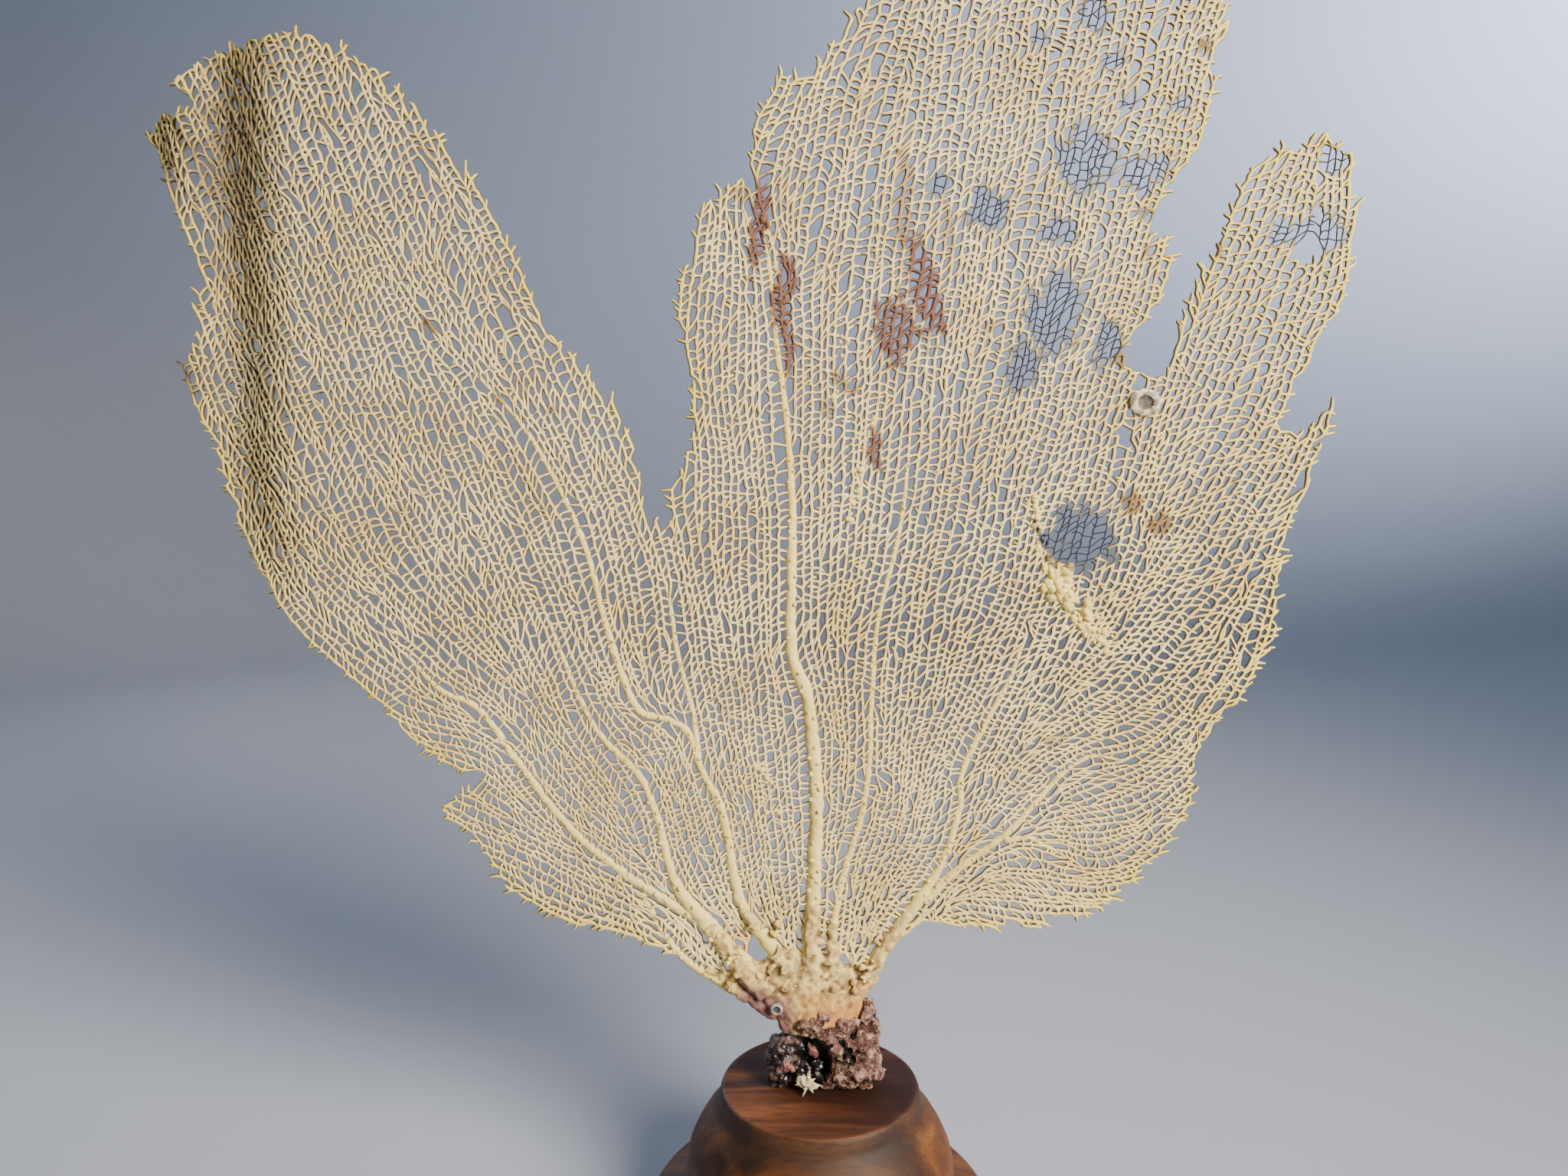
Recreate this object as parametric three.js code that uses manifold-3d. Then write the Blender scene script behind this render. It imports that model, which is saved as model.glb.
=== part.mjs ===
// A dried sea fan on a turned wooden stand.
// Millimetres, +Z up. The origin is the middle of the stand's foot, on the ground.
// The fan's blade stands in the XZ plane, and its front faces -Y.

import * as THREE from 'three';
import { mergeVertices } from 'three/addons/utils/BufferGeometryUtils.js';
import Module from 'manifold-3d';

const wasm = await Module();
wasm.setup();

// Stand
const standHeight = 68;
const discRadius = 41;
const footRadius = 72;
const standSides = 40;

// Trunk
const trunkSides = 16;
const holeSides = 10;

// Blade
const bladeThickness = 1.2;
const bladeBottom = 104;
const bladeTop = 528;
const bladeRight = 210;
const cellWidth = 38;
const cutDepth = 120;
const bowDepth = 6;
const bowLength = 70;
const rollStart = -207;
const rollWidth = 24;
const rollDepth = 14;
const crestX = -245;
const foldSlope = 1.05;
const tipForward = 5;    // the top of the rolled edge leans forward by this much
const tipX = [229, 243];
const tipZ = [335, 365];

// Holdfast
const lumpRoughness = 0.07;
const besideCrust = 0.35;    // the root stays this far to the left of the crust
const chipReach = 4.6;
const chipPoints = 5;

// Fits
const gap = 0.3;
const ribFlatness = 0.84;
const ribSides = 6;
const ribStep = 26;

const looks = {
  cortex: { color: 0xd9cda6, roughness: 0.85, metalness: 0 },
  trunk: { color: 0xd3b98f, roughness: 0.8, metalness: 0 },
  crust: { color: 0x8d6257, roughness: 0.95, metalness: 0 },
  root: { color: 0x2a2422, roughness: 0.55, metalness: 0 },
  shell: { color: 0xd6d0b4, roughness: 0.6, metalness: 0 },
  wood: { color: 0x5a3020, roughness: 0.42, metalness: 0 },
};

// Solids

function solidFrom(geometry) {
  const bare = geometry.clone();
  bare.deleteAttribute('normal');
  bare.deleteAttribute('uv');
  const merged = mergeVertices(bare, 1e-4);
  return new wasm.Manifold(new wasm.Mesh({
    numProp: 3,
    vertProperties: new Float32Array(merged.attributes.position.array),
    triVerts: new Uint32Array(merged.index.array),
  }));
}

function geometryFrom(solid) {
  const mesh = solid.getMesh();
  const geometry = new THREE.BufferGeometry();
  geometry.setAttribute('position', new THREE.Float32BufferAttribute(mesh.vertProperties, 3));
  geometry.setIndex(Array.from(mesh.triVerts));
  geometry.computeVertexNormals();
  return geometry;
}

function join(solids) {
  return solids.reduce((whole, solid) => whole.add(solid));
}

// A closed skin of rings that share one point count, with a fan of triangles at each end.
function ringSkin(rings) {
  const sides = rings[0].length;
  const last = rings.length - 1;
  const points = rings.flat();
  const middle = (ring) => ring.reduce((sum, point) => sum.add(point), new THREE.Vector3())
    .multiplyScalar(1 / sides);
  points.push(middle(rings[0]), middle(rings[last]));
  const faces = [];
  for (let side = 0; side < sides; side += 1) {
    const next = (side + 1) % sides;
    for (let ring = 0; ring < last; ring += 1) {
      const low = ring * sides;
      const high = low + sides;
      faces.push(low + side, low + next, high + next);
      faces.push(low + side, high + next, high + side);
    }
    faces.push(points.length - 2, next, side);
    faces.push(points.length - 1, last * sides + side, last * sides + next);
  }
  const geometry = new THREE.BufferGeometry().setFromPoints(points);
  geometry.setIndex(faces);
  return geometry;
}

// Blade surface: how far back (+Y) the middle of the blade lies at each x and z.
// It bows a little, its left edge rolls back, and the outermost strip folds away behind.
function depthAt(x, z) {
  const up = (z - bladeBottom) / (bladeTop - bladeBottom);
  const bow = bowDepth * Math.sin(x / bowLength) * up;
  const roll = rollDepth * THREE.MathUtils.smoothstep(-x, -rollStart, rollWidth - rollStart);
  const tip = THREE.MathUtils.smoothstep(-x, ...tipX) * THREE.MathUtils.smoothstep(z, ...tipZ);
  const fold = foldSlope * Math.max(0, crestX - x);
  return bow + roll - tipForward * tip + fold;
}

function frontNormalAt(x, z) {
  const reach = 1;
  const slopeX = (depthAt(x + reach, z) - depthAt(x - reach, z)) / (2 * reach);
  const slopeZ = (depthAt(x, z + reach) - depthAt(x, z - reach)) / (2 * reach);
  return new THREE.Vector3(slopeX, -1, slopeZ).normalize();
}

function onBlade(x, z, lift = 0) {
  const point = new THREE.Vector3(x, depthAt(x, z), z);
  return point.addScaledVector(frontNormalAt(x, z), lift);
}

// The whole blade before it is cut to outline: two skins of one grid, closed at the rim.
function bladeSlab() {
  const columns = [-276, -258, -245, -237, -228, -217, -206];
  while (columns[columns.length - 1] < bladeRight) {
    columns.push(columns[columns.length - 1] + cellWidth);
  }
  const rows = [];
  for (let z = bladeBottom; z < bladeTop + cellWidth; z += cellWidth) rows.push(z);
  const points = [];
  for (const lift of [bladeThickness / 2, -bladeThickness / 2]) {
    for (const z of rows) {
      for (const x of columns) points.push(onBlade(x, z, lift));
    }
  }
  const wide = columns.length;
  const back = wide * rows.length;
  const faces = [];
  const quad = (a, b, c, d) => faces.push(a, b, c, a, c, d);
  for (let row = 0; row < rows.length - 1; row += 1) {
    for (let column = 0; column < wide - 1; column += 1) {
      const a = row * wide + column;
      quad(a, a + 1, a + 1 + wide, a + wide);
      quad(back + a, back + a + wide, back + a + 1 + wide, back + a + 1);
    }
    const left = row * wide;
    const right = left + wide - 1;
    quad(left, left + wide, back + left + wide, back + left);
    quad(right, back + right, back + right + wide, right + wide);
  }
  for (let column = 0; column < wide - 1; column += 1) {
    const top = (rows.length - 1) * wide + column;
    quad(column, back + column, back + column + 1, column + 1);
    quad(top, top + 1, back + top + 1, back + top);
  }
  const geometry = new THREE.BufferGeometry().setFromPoints(points);
  geometry.setIndex(faces);
  return solidFrom(geometry);
}

// A rib is a flattened rod that runs along the blade through [x, z, width] stations.
function rib(stations) {
  const path = new THREE.CatmullRomCurve3(stations.map(([x, z]) => new THREE.Vector3(x, 0, z)));
  const widths = new THREE.CatmullRomCurve3(stations.map(([, , width], index) =>
    new THREE.Vector3(index, width, 0)));
  const steps = Math.max(3, Math.round(path.getLength() / ribStep));
  const rings = [];
  for (let step = 0; step <= steps; step += 1) {
    const share = step / steps;
    const spot = path.getPoint(share);
    const tangent = path.getTangent(share);
    const width = widths.getPoint(share).y;
    const middle = onBlade(spot.x, spot.z);
    const normal = frontNormalAt(spot.x, spot.z);
    const across = new THREE.Vector3().crossVectors(normal, tangent).normalize();
    const ring = [];
    for (let side = 0; side < ribSides; side += 1) {
      const turn = (side / ribSides) * Math.PI * 2;
      ring.push(middle.clone()
        .addScaledVector(across, Math.cos(turn) * width / 2)
        .addScaledVector(normal, Math.sin(turn) * width / 2 * ribFlatness));
    }
    rings.push(ring);
  }
  return solidFrom(ringSkin(rings));
}

// An upright prism through the blade, from an outline of [x, z] points.
function prism(outline) {
  const shape = new THREE.Shape(outline.map(([x, z]) => new THREE.Vector2(x, z)));
  const geometry = new THREE.ExtrudeGeometry(shape, { depth: cutDepth, bevelEnabled: false });
  geometry.rotateX(Math.PI / 2);
  geometry.translate(0, cutDepth / 2, 0);
  return solidFrom(geometry);
}

function drill([x, z], width, height) {
  const geometry = new THREE.CylinderGeometry(0.5, 0.5, cutDepth, holeSides);
  geometry.scale(width, 1, height);
  geometry.translate(x, 0, z);
  return solidFrom(geometry);
}

// Trunk: flattened sections [z, x, y, half width, half depth] from the disc up to the first forks.
function trunkCore(grow = 0) {
  const sections = [
    [standHeight + gap, 1, 1, 7, 4.5],
    [80, 0, 1, 10, 5.5],
    [90, 0, 0, 14, 6.5],
    [98, -1, 0, 18.5, 6.5],
    [106, -4, 0, 22, 5.6],
    [114, -5, 0, 25, 4.4],
    [124, -6, 0, 27, 2.6],
    [132, -6, 0, 26, 1],
  ];
  const rings = sections.map(([z, x, y, halfWidth, halfDepth]) => {
    const ring = [];
    for (let side = 0; side < trunkSides; side += 1) {
      const turn = (side / trunkSides) * Math.PI * 2;
      ring.push(new THREE.Vector3(
        x + Math.cos(turn) * (halfWidth + grow),
        y + Math.sin(turn) * (halfDepth + grow),
        z,
      ));
    }
    return ring;
  });
  return solidFrom(ringSkin(rings));
}

// Lines that part the blade at its main forks, from the trunk outward, as [x, z].
const forks = {
  lowMid: [[-44, 112], [-50, 127], [-53, 140], [-64, 160], [-80, 183], [-105, 216], [-130, 250],
    [-155, 290], [-180, 335], [-196, 380], [-205, 430], [-212, 480]],
  midInner: [[-25, 127], [-38, 150], [-50, 175], [-60, 203], [-76, 219], [-86, 233], [-92, 250],
    [-98, 270], [-106, 300], [-125, 337], [-145, 365], [-160, 395], [-170, 430], [-181, 478]],
  innerCentre: [[-8, 127], [-18, 150], [-26, 175], [-32, 200], [-42, 230], [-50, 255], [-55, 275],
    [-59, 295]],
  centreLeftRight: [[0, 124], [1, 140], [4, 160], [9, 190], [9, 215], [8, 250], [10, 300],
    [11, 350], [13, 400], [21, 450], [36, 513]],
  centreHigh: [[10, 121], [18, 140], [28, 165], [37, 190], [42, 220], [52, 255], [62, 300],
    [72, 360], [84, 430], [98, 522]],
  highLobe: [[39, 137], [42, 147], [47, 155], [54, 166], [60, 178], [66, 192], [76, 215],
    [90, 235], [108, 245], [120, 262], [127, 300], [126, 340], [123, 356]],
  lobeLow: [[44, 138], [50, 150], [64, 161], [77, 170], [84, 178], [97, 190], [112, 199],
    [128, 206], [145, 220], [162, 240], [180, 262]],
};

// Each branch: the forks that bound it, the free margin between them, and its ribs.
const branches = [
  {
    name: 'branch_left_low',
    right: forks.lowMid,
    margin: [[-53, 116], [-64, 127], [-80, 132], [-90, 137], [-100, 136], [-117, 145], [-130, 155],
      [-135, 168], [-148, 180], [-153, 187], [-142, 194], [-134, 193], [-136, 200], [-151, 205],
      [-165, 216], [-172, 226], [-181, 233], [-196, 246], [-209, 260], [-222, 281], [-232, 297],
      [-238, 318], [-244, 338], [-251, 350], [-251, 364], [-243, 375], [-245, 389], [-240, 393],
      [-242, 404], [-246, 412], [-253, 427], [-259, 440], [-268, 456], [-262, 452], [-258, 458],
      [-246, 457], [-239, 459], [-248, 467], [-243, 470], [-237, 475], [-230, 479], [-218, 478]],
    ribs: [
      [[-47, 137, 4.5], [-61, 146, 4], [-81, 160, 3.6], [-101, 178, 3.5], [-120, 204, 3.3],
        [-136, 227, 2.8], [-150, 234, 2.4], [-162, 247, 1.8], [-172, 257, 1]],
      [[-40, 112, 4.5], [-53, 120, 3.2], [-64, 133, 2.8], [-72, 150, 2]],
    ],
  },
  {
    name: 'branch_left_mid',
    left: forks.lowMid,
    right: forks.midInner,
    margin: [[-200, 482], [-188, 481]],
    ribs: [
      [[-22, 108, 14], [-34, 122, 11], [-46, 137, 8], [-59, 155, 4.6], [-66, 182, 3.5],
        [-73, 200, 3.1], [-87, 215, 2.6], [-96, 232, 2.2], [-104, 254, 1.8], [-112, 276, 1]],
    ],
  },
  {
    name: 'branch_left_inner',
    left: forks.midInner,
    right: forks.innerCentre,
    margin: [[-175, 475], [-163, 467], [-151, 455], [-138, 440], [-126, 422], [-116, 405],
      [-110, 389], [-104, 374], [-92, 361], [-82, 350], [-73, 332], [-67, 305]],
    ribs: [
      [[-10, 112, 10], [-20, 128, 7], [-31, 143, 5], [-36, 162, 4.2], [-40, 185, 3.7],
        [-48, 202, 3.4], [-53, 217, 3], [-62, 223, 3], [-72, 226, 3.1], [-79, 241, 3.2],
        [-85, 262, 3], [-94, 297, 2.4], [-112, 334, 1.9], [-133, 359, 1.6], [-149, 376, 1]],
      [[-49, 206, 2.8], [-51, 225, 2.4], [-57, 250, 2.1], [-60, 272, 1.7], [-67, 297, 1]],
    ],
  },
  {
    name: 'branch_centre_left',
    left: forks.innerCentre,
    right: forks.centreLeftRight,
    margin: [[-60, 311], [-54, 322], [-49, 340], [-50, 357], [-56, 380], [-55, 391], [-50, 402],
      [-48, 419], [-36, 427], [-28, 430], [-26, 450], [-17, 468], [-6, 464], [2, 477], [12, 490],
      [22, 505]],
    ribs: [
      [[-4, 112, 14], [-4, 132, 9], [-3, 152, 6.5], [-2, 185, 5.8], [-3, 207, 5.6], [-6, 232, 5.4],
        [-12, 250, 5], [-12, 280, 4], [-12, 310, 3.4], [-14, 340, 2.9], [-18, 370, 2.4],
        [-21, 400, 1.9], [-28, 425, 1]],
    ],
  },
  {
    name: 'branch_centre',
    left: forks.centreLeftRight,
    right: forks.centreHigh,
    margin: [[50, 508], [64, 517], [82, 523]],
    ribs: [
      [[4, 126, 4], [6, 142, 3.6], [9, 158, 3.2], [16, 182, 2.8], [19, 205, 2.6], [20, 235, 2.4],
        [22, 262, 2.2], [30, 297, 2], [33, 325, 1.6], [34, 350, 1]],
    ],
  },
  {
    name: 'branch_right_high',
    left: forks.centreHigh,
    right: forks.highLobe,
    margin: [[118, 518], [135, 509], [148, 498], [151, 485], [144, 472], [148, 466], [144, 456],
      [145, 448], [135, 433], [128, 424], [123, 411], [131, 409], [133, 395], [126, 380], [116, 370],
      [118, 360]],
    foot: [[33, 130], [24, 114]],
    ribs: [
      [[16, 111, 8], [24, 124, 7.5], [32, 136, 6], [40, 148, 5], [47, 159, 3.8], [52, 172, 3.3],
        [56, 187, 3], [56, 199, 2.8], [63, 216, 2.7], [74, 237, 2.3], [81, 257, 1.2]],
      [[82, 310, 3], [88, 286, 5], [94, 269, 8], [100, 262, 8.5], [106, 257, 6], [113, 253, 2.5]],
    ],
  },
  {
    name: 'branch_right_lobe',
    left: forks.highLobe,
    right: forks.lobeLow,
    margin: [[131, 359], [133, 367], [139, 380], [144, 397], [149, 404], [152, 415], [158, 431],
      [165, 437], [172, 442], [180, 441], [186, 451], [191, 443], [197, 440], [198, 430], [200, 420],
      [201, 400], [195, 380], [188, 366], [180, 350], [176, 334], [184, 335], [197, 348],
      [193, 333], [188, 312], [181, 291], [178, 272]],
    ribs: [
      [[42, 146, 4], [54, 159, 3.6], [66, 168, 3.2], [77, 177, 3], [88, 190, 2.5], [98, 201, 2.2],
        [109, 207, 1.8], [121, 205, 1]],
    ],
  },
  {
    name: 'branch_right_low',
    left: forks.lobeLow,
    margin: [[177, 250], [168, 233], [155, 215], [149, 206], [151, 195], [148, 183], [140, 171],
      [130, 159], [120, 148], [110, 141], [96, 140], [89, 134], [80, 137], [65, 135], [50, 137]],
    ribs: [
      [[74, 172, 2.8], [84, 173, 2.2], [92, 169, 1.8], [102, 164, 1]],
    ],
  },
];

// Openings in the blade as [centre], width, height: at the forks, and where the net is torn.
const openings = [
  [[-25, 126], 9, 13],
  [[-8, 127], 4, 4],
  [[10, 121], 8, 4.5],
  [[25, 198], 8, 5],
  [[117, 334], 6, 9],
  [[183, 404], 10, 9],
];

function branchOutline({ left = [], right = [], margin, foot = [] }) {
  const clear = gap * 0.65;
  return [
    ...left.map(([x, z]) => [x + clear, z]),
    ...margin,
    ...[...right].reverse().map(([x, z]) => [x - clear, z]),
    ...foot,
  ];
}

function trunkOutline() {
  const seats = [
    forks.lowMid[0],
    forks.midInner[0],
    forks.innerCentre[0],
    forks.centreLeftRight[0],
    forks.centreHigh[0],
    [24, 114],
  ];
  return [
    [-26, 60], [-21, 100], [-29, 104.5], [-38, 107],
    ...seats.map(([x, z]) => [x, z - gap]),
    [19, 107], [17.5, 101], [24, 60],
  ];
}

// Rubble: a rough lump is a ball pushed in and out by a few fixed waves.
function lump([x, y, z], [halfX, halfY, halfZ], phase, detail = 2) {
  const geometry = new THREE.IcosahedronGeometry(1, detail);
  geometry.deleteAttribute('normal');
  geometry.deleteAttribute('uv');
  const ball = mergeVertices(geometry, 1e-4);
  const spot = new THREE.Vector3();
  for (let index = 0; index < ball.attributes.position.count; index += 1) {
    spot.fromBufferAttribute(ball.attributes.position, index);
    const waveX = Math.sin(5 * spot.x + phase);
    const waveY = Math.sin(6 * spot.y - 2 * phase);
    const waveZ = Math.sin(7 * spot.z + 3 * phase);
    spot.multiplyScalar(1 + lumpRoughness * (waveX + waveY + waveZ));
    spot.set(x + spot.x * halfX, y + spot.y * halfY, z + spot.z * halfZ);
    ball.attributes.position.setXYZ(index, spot.x, spot.y, spot.z);
  }
  return solidFrom(ball);
}

function aboveDisc() {
  const tall = 60;
  const geometry = new THREE.BoxGeometry(120, 120, tall);
  geometry.translate(0, 0, standHeight + gap + tall / 2);
  return solidFrom(geometry);
}

function crustSolid() {
  // the slit leans up to the left
  const slit = new THREE.CylinderGeometry(1, 1, 60, 8);
  slit.scale(1.6, 1, 4.4);
  slit.rotateY(0.5);
  slit.translate(12, 0, 80);
  const mass = join([
    lump([15, 1, 76], [10.5, 8.5, 12], 0.4),
    lump([16, 1, 89], [8.5, 7.5, 9], 1.7),
    lump([3, 0, 92], [12, 8, 6], 2.6),
    lump([20, 2, 97], [3.2, 3, 6.5], 4.2, 1),
  ]);
  return mass.subtract(solidFrom(slit)).subtract(trunkCore(gap)).intersect(aboveDisc());
}

function rootSolid(crust) {
  const mass = join([
    lump([-14, 2, 76], [8, 7, 9], 3.1),
    lump([-4, 1, 74], [7.5, 6.5, 8], 5.2),
  ]);
  return mass
    .subtract(trunkCore(gap))
    .subtract(crust.translate(-besideCrust, 0, 0))
    .subtract(crust)
    .intersect(aboveDisc());
}

// A flat scrap of shell with five blunt points, leaning on the root.
function chipSolid(root) {
  const geometry = new THREE.CylinderGeometry(1, 1, 2.6, 10);
  const spot = new THREE.Vector3();
  const shape = geometry.attributes.position;
  for (let index = 0; index < shape.count; index += 1) {
    spot.fromBufferAttribute(shape, index);
    const turn = Math.atan2(spot.z, spot.x);
    const reach = chipReach + 0.8 * Math.cos(chipPoints * turn);
    shape.setXYZ(index, spot.x * reach, spot.y, spot.z * reach);
  }
  geometry.rotateX(-0.35);
  geometry.translate(-5.5, -9.6, standHeight + 4.7);
  return solidFrom(geometry).subtract(root.translate(0, -gap, 0)).intersect(aboveDisc());
}

// A low cone with a sunken crater, growing on the front of the trunk.
function barnacleGeometry() {
  const profile = [[0, 0], [2.7, 0], [2.5, 0.8], [1.7, 1.7], [1.2, 1.7], [0.9, 0.9], [0, 0.8]];
  const geometry = new THREE.LatheGeometry(profile.map(([r, h]) => new THREE.Vector2(r, h)), 12);
  geometry.rotateX(Math.PI);
  geometry.translate(-18, -5.2, 103);
  return geometry;
}

// A small bivalve shell, cupped towards the blade, fixed in front of the cleft.
function attachedShellGeometry() {
  const profile = [[0, 0.2], [3.5, 0.5], [6, 1.4], [6.2, 1.7], [4.5, 1.7], [2, 1.2], [0, 1]];
  const geometry = new THREE.LatheGeometry(profile.map(([r, h]) => new THREE.Vector2(r, h)), 14);
  geometry.scale(1.05, 1, 0.85);
  geometry.rotateX(Math.PI);
  const [x, z] = [124, 347];
  const front = depthAt(x, z) - bladeThickness / 2 - gap;
  geometry.translate(x, front - 0.2, z);
  return geometry;
}

function standGeometry() {
  const profile = [
    [0, 0], [footRadius - 1.5, 0], [footRadius, 1.5], [footRadius, 9], [footRadius - 1, 15],
    [69, 18], [57.5, 20], [56, 23], [55.5, 36], [54.5, 41], [51.4, 48], [47.4, 55], [43.6, 58.5],
    [42, 61], [discRadius, 66.8], [discRadius - 1, standHeight], [0, standHeight],
  ];
  const geometry = new THREE.LatheGeometry(profile.map(([r, h]) => new THREE.Vector2(r, h)), standSides);
  geometry.rotateX(Math.PI / 2);
  return geometry;
}

const fan = new THREE.Group();

function place(name, geometry, look) {
  const mesh = new THREE.Mesh(geometry, new THREE.MeshStandardMaterial(looks[look]));
  mesh.name = name;
  fan.add(mesh);
}

const body = join([bladeSlab(), trunkCore(), ...branches.flatMap((branch) => branch.ribs.map(rib))])
  .subtract(join(openings.map(([centre, width, height]) => drill(centre, width, height))));

place('stand', standGeometry(), 'wood');
place('trunk', geometryFrom(body.intersect(prism(trunkOutline()))), 'trunk');
for (const branch of branches) {
  place(branch.name, geometryFrom(body.intersect(prism(branchOutline(branch)))), 'cortex');
}
const crustBody = crustSolid();
const rootBody = rootSolid(crustBody);
place('holdfast_crust', geometryFrom(crustBody), 'crust');
place('root_mass', geometryFrom(rootBody), 'root');
place('shell_chip', geometryFrom(chipSolid(rootBody)), 'shell');
place('barnacle', barnacleGeometry(), 'shell');
place('attached_shell', attachedShellGeometry(), 'shell');

export default fan;
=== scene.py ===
import math
import random

import bpy
import numpy as np
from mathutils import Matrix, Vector, noise
from mathutils.bvhtree import BVHTree


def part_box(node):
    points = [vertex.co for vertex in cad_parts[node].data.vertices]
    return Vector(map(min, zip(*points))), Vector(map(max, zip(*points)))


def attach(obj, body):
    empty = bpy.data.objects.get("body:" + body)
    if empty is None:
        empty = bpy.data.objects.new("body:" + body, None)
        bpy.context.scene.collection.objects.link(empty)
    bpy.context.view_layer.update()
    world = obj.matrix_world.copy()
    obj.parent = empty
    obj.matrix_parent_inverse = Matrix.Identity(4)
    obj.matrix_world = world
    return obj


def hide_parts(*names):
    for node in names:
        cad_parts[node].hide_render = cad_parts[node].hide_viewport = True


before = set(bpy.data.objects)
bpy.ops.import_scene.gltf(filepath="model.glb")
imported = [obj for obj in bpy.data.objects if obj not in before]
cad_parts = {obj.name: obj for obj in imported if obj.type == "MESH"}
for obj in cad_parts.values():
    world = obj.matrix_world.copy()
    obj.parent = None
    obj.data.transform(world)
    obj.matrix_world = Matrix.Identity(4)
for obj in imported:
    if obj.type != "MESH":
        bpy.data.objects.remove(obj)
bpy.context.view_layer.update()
bpy.ops.object.select_all(action="DESELECT")

# A dried sea fan on a turned stand, in the part's own frame: +Z up, the fan's front faces -Y.
# Numbers are millimetres unless a line says otherwise. Meshes are made in metres.
mm = 0.001


# ---- small helpers

def smooth(low, high, value):
    share = np.clip((value - low) / (high - low), 0.0, 1.0)
    return share * share * (3 - 2 * share)


def ripple(x, z, size, phase, sin=math.sin):
    # a gentle wave field about `size` across, from -1 to 1; np.sin takes arrays
    turn = 2 * math.pi / size
    return (sin(turn * (0.90 * x + 0.43 * z) + phase)
            + sin(turn * 1.31 * (0.37 * x - 0.93 * z) + 2.1 * phase)
            + sin(turn * 0.77 * (0.71 * x + 0.70 * z) + 4.7 * phase)) / 3


def sweep(points, step):
    # a smooth line through given points, sampled about every step
    line = np.array(points, float)
    line = np.vstack([2 * line[0] - line[1], line, 2 * line[-1] - line[-2]])
    out = []
    for k in range(1, len(line) - 2):
        a, b, c, d = line[k - 1:k + 3]
        count = max(2, int(round(np.linalg.norm((c - b)[:2]) / step)))
        for i in range(count):
            t = i / count
            out.append(0.5 * (2 * b + (c - a) * t + (2 * a - 5 * b + 4 * c - d) * t * t
                              + (3 * b - a - 3 * c + d) * t ** 3))
    out.append(line[-2])
    return np.array(out)


def joined(parts):
    # one point list and one triangle list from many
    points, faces, start = [], [], 0
    for partPoints, partFaces in parts:
        points.append(partPoints)
        faces.append(partFaces + start)
        start += len(partPoints)
    return np.vstack(points), np.vstack(faces)


def meshObject(name, points, faces):
    mesh = bpy.data.meshes.new(name)
    mesh.from_pydata((points * mm).tolist(), [], faces.tolist())
    mesh.shade_smooth()
    piece = bpy.data.objects.new(name, mesh)
    bpy.context.collection.objects.link(piece)
    return piece


def only(piece):
    bpy.ops.object.select_all(action="DESELECT")
    piece.select_set(True)
    bpy.context.view_layer.objects.active = piece


def editAll(piece):
    # opens the piece for editing with everything selected
    only(piece)
    bpy.ops.object.mode_set(mode="EDIT")
    bpy.ops.mesh.select_all(action="SELECT")


def applied(piece, kind, **settings):
    only(piece)
    modifier = piece.modifiers.new(kind.title(), kind)
    for key, value in settings.items():
        setattr(modifier, key, value)
    bpy.ops.object.modifier_apply(modifier=modifier.name)


def settle(piece):
    # the place goes into the mesh
    only(piece)
    bpy.ops.object.transform_apply(location=True, rotation=True, scale=True)


def cadCopy(node, name):
    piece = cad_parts[node].copy()
    piece.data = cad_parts[node].data.copy()
    piece.name = name
    piece.data.name = name
    piece.data.materials.clear()
    for key in list(piece.keys()):
        del piece[key]
    bpy.context.collection.objects.link(piece)
    editAll(piece)
    bpy.ops.mesh.remove_doubles(threshold=0.02 * mm)
    bpy.ops.object.mode_set(mode="OBJECT")
    return piece


def remeshed(piece, grain):
    only(piece)
    piece.data.remesh_voxel_size = grain * mm
    bpy.ops.object.voxel_remesh()


def roughen(piece, size, height, kind="CLOUDS", middle=0.5):
    texture = bpy.data.textures.new(piece.name + "Grain", kind)
    texture.noise_scale = size * mm
    if kind == "MUSGRAVE":
        texture.musgrave_type = "RIDGED_MULTIFRACTAL"
    applied(piece, "DISPLACE", texture=texture, strength=height * mm, mid_level=middle)


def vertexSpots(piece, what="co"):
    values = np.empty(len(piece.data.vertices) * 3)
    piece.data.vertices.foreach_get(what, values)
    return values.reshape(-1, 3)


def mark(piece, name, values):
    layer = piece.data.attributes.new(name, "FLOAT", "POINT")
    layer.data.foreach_set("value", np.clip(values, 0, 1))


def markHollows(piece, rounds, depth):
    # 0 on sharp ridges, 0.5 on the level, 1 in hollows this deep: a material reads it as "hollow"
    spots = vertexSpots(piece)
    pairs = np.empty(len(piece.data.edges) * 2, int)
    piece.data.edges.foreach_get("vertices", pairs)
    ends = np.concatenate([pairs, pairs.reshape(-1, 2)[:, ::-1].ravel()]).reshape(-1, 2)
    count = np.maximum(np.bincount(ends[:, 0], minlength=len(spots)), 1)
    eased = spots.copy()
    for _ in range(rounds):
        eased = np.stack([np.bincount(ends[:, 0], eased[ends[:, 1], k], len(spots)) / count
                          for k in range(3)], 1)
    rise = ((eased - spots) * vertexSpots(piece, "normal")).sum(1)
    mark(piece, "hollow", 0.5 + 0.5 * rise / (depth * mm))


def markInside(piece, name, lumps, margin):
    # 1 inside a lump given by its middle and half sizes, fading to 0 at the margin
    spots = vertexSpots(piece) / mm
    inside = np.zeros(len(spots))
    for lump in lumps:
        away = np.linalg.norm((spots - lump[:3]) / np.array(lump[3:]), axis=1)
        inside = np.maximum(inside, 1 - smooth(1.0, margin, away))
    mark(piece, name, inside)


def joinTo(piece, others):
    only(piece)
    for other in others:
        other.select_set(True)
    bpy.ops.object.join()


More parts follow.
